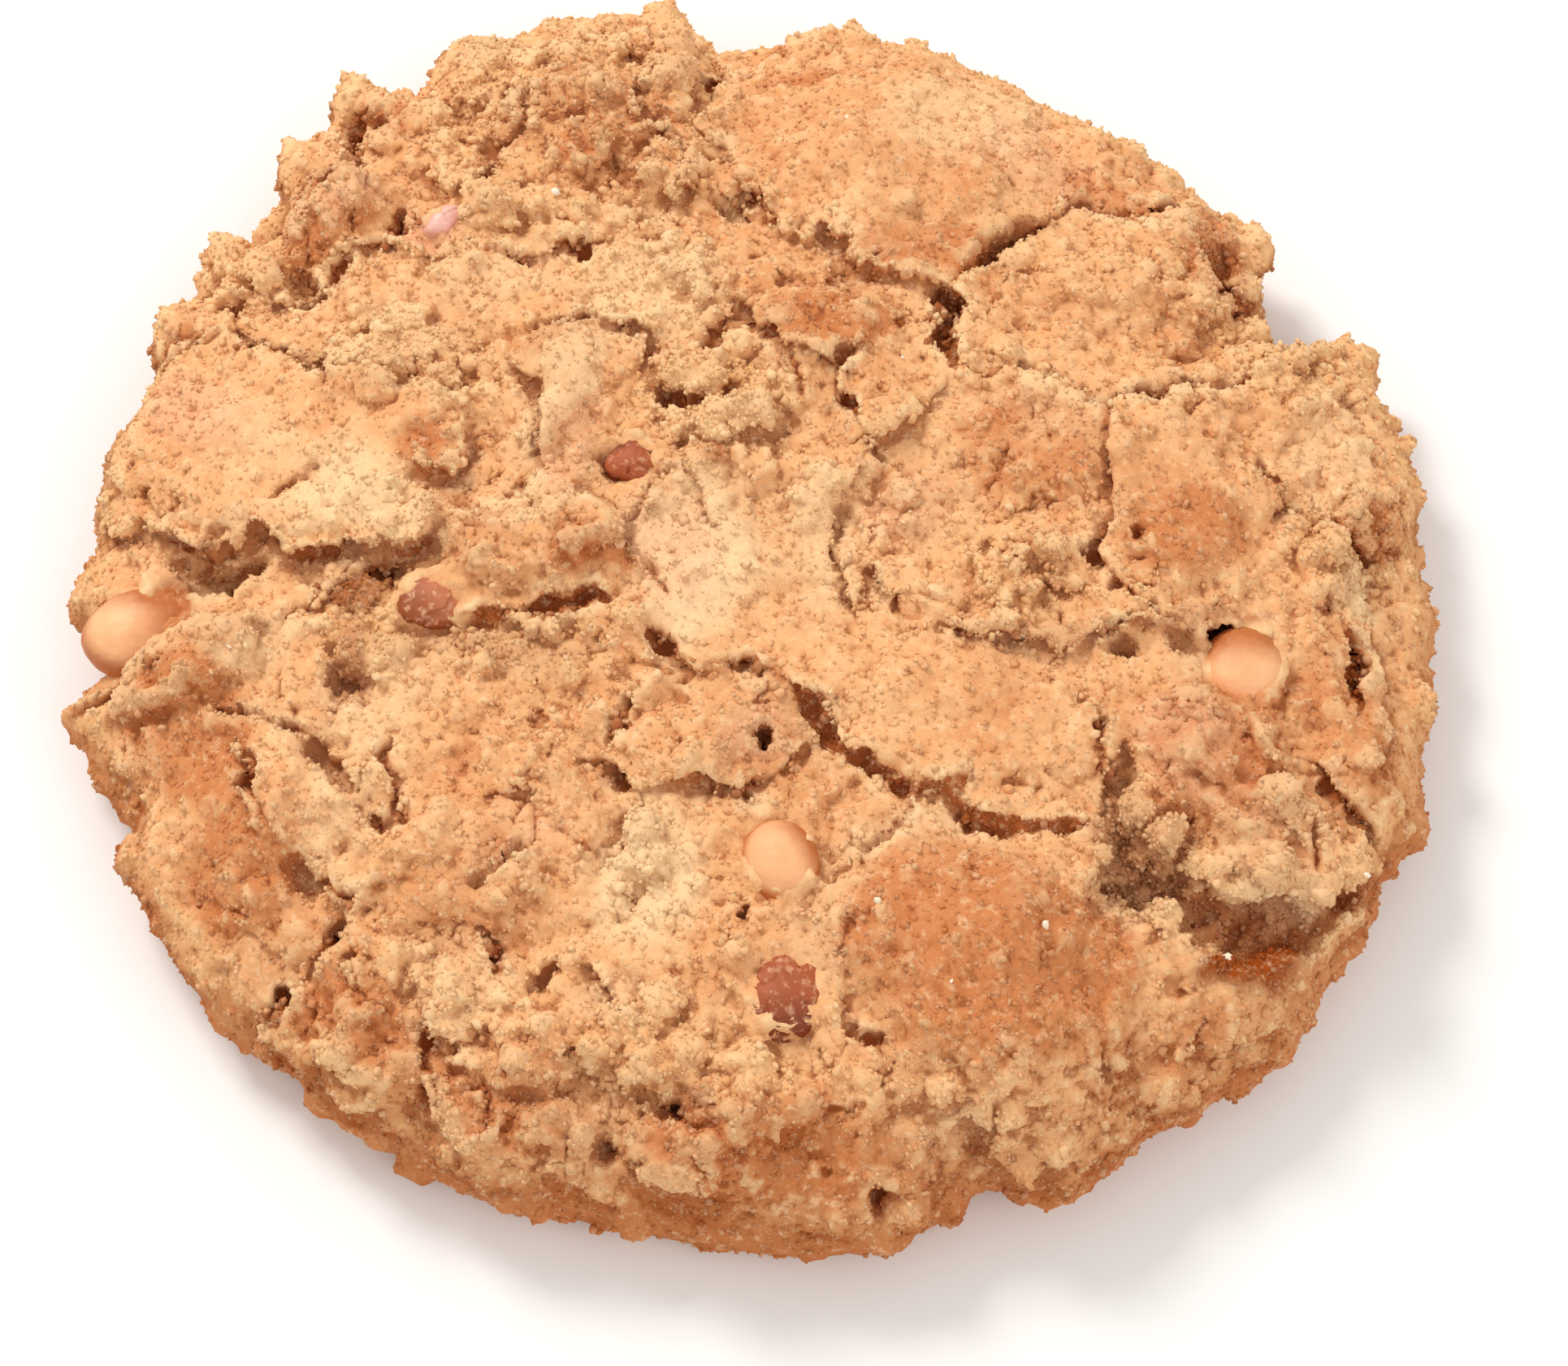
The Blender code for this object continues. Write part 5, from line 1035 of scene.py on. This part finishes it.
def ball_shape(rounds):
    """The points and triangles of a small grain to be copied many times: a cube, or rounder with rounds."""
    bpy.ops.object.select_all(action="DESELECT")
    if rounds:
        bpy.ops.mesh.primitive_ico_sphere_add(subdivisions=rounds, radius=1)
    else:
        bpy.ops.mesh.primitive_cube_add(size=CUBE)
    seed = bpy.context.active_object
    seed.data.calc_loop_triangles()
    shape = rows_of(seed, "co"), np.array([face.vertices[:] for face in seed.data.loop_triangles])
    bpy.data.objects.remove(seed)
    return shape


def crumbs(host, name, rounds, count, sizes, evenness):
    """Loose and half-stuck crumbs over the crust, most where it is broken up."""
    points = rows_of(host, "co") / MM
    rough, cut = kept(host.data.attributes["rough"]), kept(host.data.attributes["cut"])
    chance = evenness + rough ** 2 + CRUMBS_IN_CRACKS * smooth(cut, *CRACK_FROM)
    up = shared_out(CRUMBS_UP, smooth(points[:, 2], *CRUMBS_UP_FROM))
    chance *= up * (points[:, 2] > CRUMBS_ABOVE) * clear_of_chips(points)
    return scattered(name, host, ball_shape(rounds), *strewn(count, chance, sizes), CRUMB_SINK)


def sugar_grains(host):
    """The few coarse grains of sugar and salt, each on the highest point of the crust where it lies."""
    points = rows_of(host, "co") / MM
    chosen = []
    for x, y, size in GRAINS:
        away = np.hypot(points[:, 0] - x, points[:, 1] - y)
        chosen.append(int(np.argmin(away - points[:, 2])))
    size = np.array([row[2] for row in GRAINS])
    return scattered("sugar_grains", host, ball_shape(1), np.array(chosen), size, SUGAR_SINK)


class Maker:
    """Adds nodes to a material or a node group, each with its values, and joins them."""

    def __init__(self, tree):
        self.tree = tree
        self.shader = tree.nodes.get("Principled BSDF")

    def add(self, kind, **settings):
        node = self.tree.nodes.new("ShaderNode" + kind)
        for setting, value in settings.items():
            setattr(node, setting, value)
        return node

    def give(self, socket, value):
        """Joins the socket to another one, or sets it to a colour or a number."""
        if isinstance(value, bpy.types.NodeSocket):
            self.tree.links.new(value, socket)
        elif isinstance(value, tuple):
            socket.default_value = (*value, 1)
        else:
            socket.default_value = value

    def place(self):
        return self.add("TexCoord").outputs["Object"]

    def mask(self, name):
        return self.add("Attribute", attribute_name=name).outputs["Fac"]

    def grain(self, place, scale, detail, roughness):
        node = self.add("TexNoise")
        given = {"Vector": place, "Scale": scale, "Detail": detail, "Roughness": roughness}
        for socket, value in given.items():
            self.give(node.inputs[socket], value)
        return node.outputs["Fac"]

    def ranged(self, value, low, high, to_low=0.0, to_high=1.0, kind="SMOOTHSTEP"):
        node = self.add("MapRange", interpolation_type=kind)
        self.give(node.inputs["Value"], value)
        for socket, number in zip(("From Min", "From Max", "To Min", "To Max"), (low, high, to_low, to_high)):
            self.give(node.inputs[socket], number)
        return node.outputs["Result"]

    def maths(self, operation, first, second):
        node = self.add("Math", operation=operation)
        self.give(node.inputs[0], first)
        self.give(node.inputs[1], second)
        return node.outputs["Value"]

    def times(self, first, second):
        return self.maths("MULTIPLY", first, second)

    def most(self, first, second):
        return self.maths("MAXIMUM", first, second)

    def mixed(self, amount, first, second):
        node = self.add("Mix", data_type="RGBA")
        self.give(node.inputs["Factor"], amount)
        self.give(node.inputs[6], first)
        self.give(node.inputs[7], second)
        return node.outputs[2]

    def bumped(self, height, strength, distance):
        """Lays a small height over the shader's surface."""
        node = self.add("Bump")
        self.give(node.inputs["Strength"], strength)
        self.give(node.inputs["Distance"], distance)
        self.give(node.inputs["Height"], height)
        self.give(self.shader.inputs["Normal"], node.outputs["Normal"])


def new_material(name, specular=None):
    material = bpy.data.materials.new(name)
    material.use_nodes = True
    make = Maker(material.node_tree)
    if specular is not None:
        make.give(make.shader.inputs["Specular IOR Level"], specular)
    return material, make


def crust_material():
    """The baked crust, coloured by the masks that its points keep and by noises finer than those, with
    painted shade in its cuts, creases and hollows and a painted highlight on its crests.
    """
    material, make = new_material("golden baked crust", CRUST_SPECULAR)
    mask, times, most, mixed = make.mask, make.times, make.most, make.mixed
    place = make.place()
    noises = {name: make.grain(place, *row) for name, row in CRUST_NOISES.items()}
    uneven = make.maths("ADD", times(noises["browning"], UNEVEN_BROWNING), -UNEVEN_BROWNING / 2)

    def counts(value, name):
        return make.ranged(value, *CRUST_RANGES[name])

    dough = mixed(counts(noises["patches"], "patches"), DOUGH, PATCHED)
    dough = mixed(times(counts(noises["mottle"], "mottle"), MOTTLE_SHARE), dough, MOTTLED)
    crumb = most(mask("broken"), counts(mask("rough"), "crumb"))
    dough = mixed(times(crumb, CRUMB_SHARE), dough, CRUMB)
    for name, share, colour in TINTS:
        dough = mixed(times(mask(name), share), dough, colour)

    # The side's share of the tan is partly painted shade on the front.
    tanned = most(mask("brown"), times(mask("side"), SIDE_TAN_AND_SHADE))
    tanned = most(tanned, counts(mask("broad_crest"), "tanned crest"))
    tanned = make.maths("ADD", tanned, times(uneven, UNEVEN_TAN))
    dough = mixed(counts(tanned, "tanned"), dough, TANNED)
    # The foot's dark brown, with painted shade reaching higher up the front.
    dough = mixed(times(mask("side"), counts(uneven, "foot")), dough, FOOT)

    # Painted highlight: paler on the crests that stand out.
    crest = most(counts(mask("crest"), "crest"), counts(mask("fine_crest"), "fine crest"))
    dough = mixed(times(crest, counts(uneven, "uneven crest")), dough, CREST_HIGHLIGHT)

    # Painted shade: darker in creases, hollows and cuts and in the zones of painted shade, less where the
    # crust is pale.
    dark = most(counts(mask("fine_crest"), "crease"), counts(mask("crest"), "hollow"))
    dark = most(counts(mask("cut"), "cut"), dark)
    dark = times(dark, counts(mask("pale"), "pale depth"))
    dark = most(dark, times(mask("dark"), counts(uneven, "uneven dark")))
    dough = mixed(dark, dough, DEEP_SHADE)
    # Rift and hollow floors darkened to grey-brown: painted shade over grey crumb.
    dough = mixed(times(mask("grey"), GREY_FLOOR_SHADE_SHARE), dough, GREY_FLOOR_SHADE)

    specks = most(counts(noises["specks"], "dark specks"), counts(mask("tone"), "dark tone"))
    dough = mixed(times(specks, counts(mask("pale"), "pale specked")), dough, DARK_SPECK)
    specks = most(counts(noises["specks"], "pale specks"), counts(mask("tone"), "pale tone"))
    dough = mixed(specks, dough, PALE_SPECK)
    dough = mixed(counts(noises["sand"], "dark sand"), dough, DARK_SAND)
    dough = mixed(counts(noises["sand"], "pale sand"), dough, PALE_SAND)
    make.give(make.shader.inputs["Base Color"], dough)
    make.give(make.shader.inputs["Roughness"], counts(noises["gloss"], "roughness"))
    make.bumped(make.maths("ADD", noises["bumps"], times(noises["sand"], SAND_BUMP)), *CRUST_BUMP)
    return material


def baked_and_shaded_skin():
    """Node group: a clouded colour that the oven browned unevenly, darkened further where painted shade
    is given, with a fine height to go with it.
    """
    group = bpy.data.node_groups.new("baked skin", "ShaderNodeTree")
    colour, number, vector = "NodeSocketColor", "NodeSocketFloat", "NodeSocketVector"
    sockets = {
        "INPUT": (("Place", vector), ("Colour", colour), ("Browned Colour", colour), ("Browned And Shaded", number),
                  ("Flecks", number)),
        "OUTPUT": (("Colour", colour), ("Height", number)),
    }
    for way, rows in sockets.items():
        for name, kind in rows:
            group.interface.new_socket(name, in_out=way, socket_type=kind)
    make = Maker(group)
    given, result = group.nodes.new("NodeGroupInput").outputs, group.nodes.new("NodeGroupOutput").inputs
    clouds, fine = (make.grain(given["Place"], *row) for row in SKIN_NOISES)
    browning_and_shade = make.maths("ADD", given["Browned And Shaded"], clouds)
    browning_and_shade = make.ranged(browning_and_shade, *BROWNING_AND_SHADE_RANGE, kind="LINEAR")
    skin_colour = make.mixed(browning_and_shade, given["Colour"], given["Browned Colour"])
    flecks = make.times(make.ranged(fine, *FLECK_RANGE, kind="LINEAR"), given["Flecks"])
    make.give(result["Colour"], make.mixed(flecks, skin_colour, FLECK_COLOUR))
    make.give(result["Height"], fine)
    return group


def skin_material(name, colour, browning_and_shade, roughness, flecks):
    """A chip's, a nut piece's or the sugar's finish."""
    material, make = new_material(name, SKIN_SPECULAR)
    make.give(make.shader.inputs["Roughness"], roughness)
    skin = make.add("Group", node_tree=bpy.data.node_groups.get("baked skin") or baked_and_shaded_skin())
    given = {"Place": make.place(), "Colour": colour, "Browned Colour": browning_and_shade,
             "Browned And Shaded": make.mask("baked_and_shaded"), "Flecks": flecks}
    for socket, value in given.items():
        make.give(skin.inputs[socket], value)
    make.give(make.shader.inputs["Base Color"], skin.outputs["Colour"])
    make.bumped(skin.outputs["Height"], *SKIN_BUMP)
    return material


# The noises of the crust: scale, detail and roughness.
CRUST_NOISES = {
    "patches": (90, 5, 0.6), "mottle": (380, 5, 0.6), "browning": (170, 8, 0.68), "specks": (950, 4, 0.75),
    "sand": (2300, 3, 0.7), "gloss": (700, 4, 0.6), "bumps": (1100, 6, 0.7),
}
# Between which readings each part of the crust's look sets in, and how much it counts at either end.
CRUST_RANGES = {
    "patches": (0.38, 0.64), "mottle": (0.32, 0.68), "crumb": (0.3, 0.9, 0.0, 0.7),
    "tanned crest": (0.8, 2.4, 0.0, 0.45), "tanned": (0.04, 0.8, 0.0, 0.95), "foot": (-0.35, 0.4, 0.25, 0.9),
    "crest": (0.15, 0.9, 0.0, 0.55), "fine crest": (0.05, 0.4, 0.0, 0.55),
    "uneven crest": (-0.4, 0.3, 0.4, 1.0), "crease": (-0.08, -0.5, 0.0, 0.6),
    "hollow": (-0.3, -1.5, 0.0, 0.6), "cut": (0.2, 1.2, 0.0, 0.9), "pale depth": (0.2, 1.0, 1.0, 0.4),
    "uneven dark": (-0.5, 0.4, 0.45, 1.0), "dark specks": (0.54, 0.68, 0.0, 0.24),
    "dark tone": (0.2, 1.0, 0.0, 0.2), "pale specked": (0.0, 1.0, 1.0, 0.5),
    "pale specks": (0.46, 0.34, 0.0, 0.4), "pale tone": (-0.1, -1.0, 0.0, 0.28),
    "dark sand": (0.55, 0.70, 0.0, 0.22), "pale sand": (0.44, 0.30, 0.0, 0.22),
    "roughness": (0.3, 0.7, 0.72, 0.95),
}
# How much the mottle, the crumb, the side's tan and painted shade and its unevenness, the painted grey
# shade of the depths and the sand count.
MOTTLE_SHARE, CRUMB_SHARE, SIDE_TAN_AND_SHADE, UNEVEN_TAN = 0.5, 0.8, 0.85, 0.9
UNEVEN_BROWNING, GREY_FLOOR_SHADE_SHARE, SAND_BUMP = 1.5, 0.5, 0.5
# The crust's colours: the plain dough, its patches and mottle, broken crumb, then the tints of the zones
# with how much each counts, the grey one partly painted shade, and what the oven browned, first on the
# crust and then at the foot, where painted shade reaches higher on the front.
DOUGH, PATCHED, MOTTLED = (0.87, 0.455, 0.205), (0.77, 0.345, 0.138), (0.92, 0.54, 0.27)
CRUMB = (0.88, 0.535, 0.25)
TINTS = (
    ("grey", 0.5, (0.74, 0.45, 0.24)),
    ("pale", 0.85, (0.945, 0.665, 0.375)),
    ("pink", 0.6, (0.87, 0.44, 0.27)),
)
TANNED, FOOT = (0.63, 0.222, 0.075), (0.46, 0.135, 0.035)
# The painted highlight on its raised edges, the painted shade in its depths and on its grey floors, and
# the specks and sand strewn through it.
CREST_HIGHLIGHT, DEEP_SHADE, GREY_FLOOR_SHADE = (0.95, 0.68, 0.375), (0.34, 0.065, 0.005), (0.66, 0.32, 0.145)
DARK_SPECK, PALE_SPECK = (0.56, 0.21, 0.07), (0.97, 0.71, 0.43)
DARK_SAND, PALE_SAND = (0.55, 0.22, 0.08), (0.97, 0.70, 0.42)
# How glossy it is, and the strength and the distance in metres of its bump.
CRUST_SPECULAR, CRUST_BUMP = 0.12, (0.6, 0.0004)

# The skins of the chips, the nut pieces and the sugar, by slot: colour, browned colour, which also
# serves as painted shade, roughness and how much they are flecked with crumb.
SKINS = {
    "butter_chip": ((0.92, 0.48, 0.235), (0.50, 0.15, 0.04), 0.45, 0.1),
    "browned_chip": ((0.42, 0.105, 0.038), (0.20, 0.036, 0.009), 0.55, 0.4),
    "nut_skin": ((0.55, 0.185, 0.085), (0.33, 0.085, 0.03), 0.5, 0.5),
    "nut_pink": ((0.84, 0.50, 0.44), (0.74, 0.36, 0.26), 0.3, 0.0),
    "sugar": ((0.93, 0.78, 0.60), (0.88, 0.62, 0.38), 0.3, 0.0),
}
FLECK_COLOUR = (0.90, 0.55, 0.33)
# Their clouds and their fine noise, and between which readings they are browned and shaded, and flecked.
SKIN_NOISES = ((330, 5, 0.5), (1500, 5, 0.5))
BROWNING_AND_SHADE_RANGE, FLECK_RANGE = (0.35, 1.45), (0.53, 0.66)
SKIN_SPECULAR, SKIN_BUMP = 0.3, (0.35, 0.0002)
SLOTS = {
    "chip_middle": "butter_chip", "chip_right": "butter_chip", "chip_left_rim": "butter_chip",
    "chip_small": "browned_chip", "chip_melted": "browned_chip", "nut_piece": "nut_skin",
    "nut_bit_back": "nut_pink",
}
# The side on which each chip and nut piece gets painted shade, as an angle from +X, and how near its
# middle the shade starts. Then how far that spreads, and where the painted shade on its lower part ends.
SHADED_SIDES = {
    "chip_middle": (15, 0.1), "chip_right": (90, -0.2), "chip_left_rim": (35, -0.3), "chip_small": (120, 0.1),
    "chip_melted": (-80, -0.1), "nut_piece": (200, 0.0), "nut_bit_back": (120, 0.3),
}
SHADE_SPREAD, SHADED_LOW = 0.85, (0.25, 0.7)

# The crumbs: rounds of subdivision, how many, their sizes, and how evenly they are strewn.
CRUMBS = {
    "loose_crumbs": (1, 8000, (0.15, 0.6), 0.06),
    "coarse_grain": (0, 16_000, (0.24, 0.5), 0.5),
    "sandy_grain": (0, 16_000, (0.18, 0.36), 1.0),
    "fine_grain": (0, 16_000, (0.12, 0.24), 1.0),
}

# The camera looks along +Y and down, from this far off, at this point of the table, in millimetres.
CAMERA_ELEVATION = 66
CAMERA_DISTANCE = 350.0
CAMERA_TARGET = (2.6, -9.4, 8.0)
LENS, SENSOR = 91.4, 36
NEAREST = 0.01

# The table and the room, then the lamps: place in metres, power, size and colour.
TABLE_SIZE, TABLE_COLOUR, TABLE_ROUGHNESS = 3, (0.9, 0.9, 0.9), 0.7
ROOM_COLOUR, ROOM_LIGHT = (1.0, 0.98, 0.95), 0.76
LAMPS = {
    "window": ((-0.45, 0.55, 0.75), 6.0, 0.3, (1.0, 0.97, 0.92)),
    "fill": ((0.5, -0.5, 0.7), 2.0, 0.7, (1.0, 0.96, 0.92)),
}


def camera():
    data = bpy.data.cameras.new("camera")
    data.lens = LENS
    data.sensor_width = SENSOR
    data.clip_start = NEAREST
    thing = bpy.data.objects.new("camera", data)
    bpy.context.scene.collection.objects.link(thing)
    tilt = radians(CAMERA_ELEVATION)
    back = Vector((0, -cos(tilt), sin(tilt)))
    thing.location = (Vector(CAMERA_TARGET) + back * CAMERA_DISTANCE) * MM
    thing.rotation_euler = (radians(90 - CAMERA_ELEVATION), 0, 0)
    bpy.context.scene.camera = thing


def lamp(name, place, power, size, colour):
    data = bpy.data.lights.new(name, "AREA")
    data.energy = power
    data.size = size
    data.color = colour
    thing = bpy.data.objects.new(name, data)
    bpy.context.scene.collection.objects.link(thing)
    thing.location = place
    thing.rotation_euler = (-Vector(place)).to_track_quat("-Z", "Y").to_euler()


def studio():
    bpy.ops.mesh.primitive_plane_add(size=TABLE_SIZE, location=(0, 0, 0))
    floor = bpy.context.active_object
    floor.name = "floor"
    material, make = new_material("pale table")
    make.give(make.shader.inputs["Base Color"], TABLE_COLOUR)
    make.give(make.shader.inputs["Roughness"], TABLE_ROUGHNESS)
    floor.data.materials.append(material)
    world = bpy.data.worlds.new("room")
    world.use_nodes = True
    background = world.node_tree.nodes["Background"]
    background.inputs["Color"].default_value = (*ROOM_COLOUR, 1)
    background.inputs["Strength"].default_value = ROOM_LIGHT
    bpy.context.scene.world = world
    for name, row in LAMPS.items():
        lamp(name, *row)
    bpy.context.scene.view_settings.view_transform = "Standard"
    bpy.context.scene.view_settings.look = "None"
    bpy.context.scene.view_settings.exposure = 0.0


skin = crust()
skin.data.materials.append(crust_material())
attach(skin, "root")
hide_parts("cookie")
for name, row in CRUMBS.items():
    strewn_crumbs = crumbs(skin, name, *row)
    strewn_crumbs.data.materials.append(skin.data.materials[0])
    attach(strewn_crumbs, "root")
skins = {slot: skin_material(slot.replace("_", " "), *row) for slot, row in SKINS.items()}
sugar = sugar_grains(skin)
sugar.data.materials.append(skins["sugar"])
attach(sugar, "root")
for name in INCLUSIONS:
    piece = inclusion(name)
    piece.data.materials.append(skins[SLOTS[name]])
    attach(piece, "root")
    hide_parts(name)
camera()
studio()
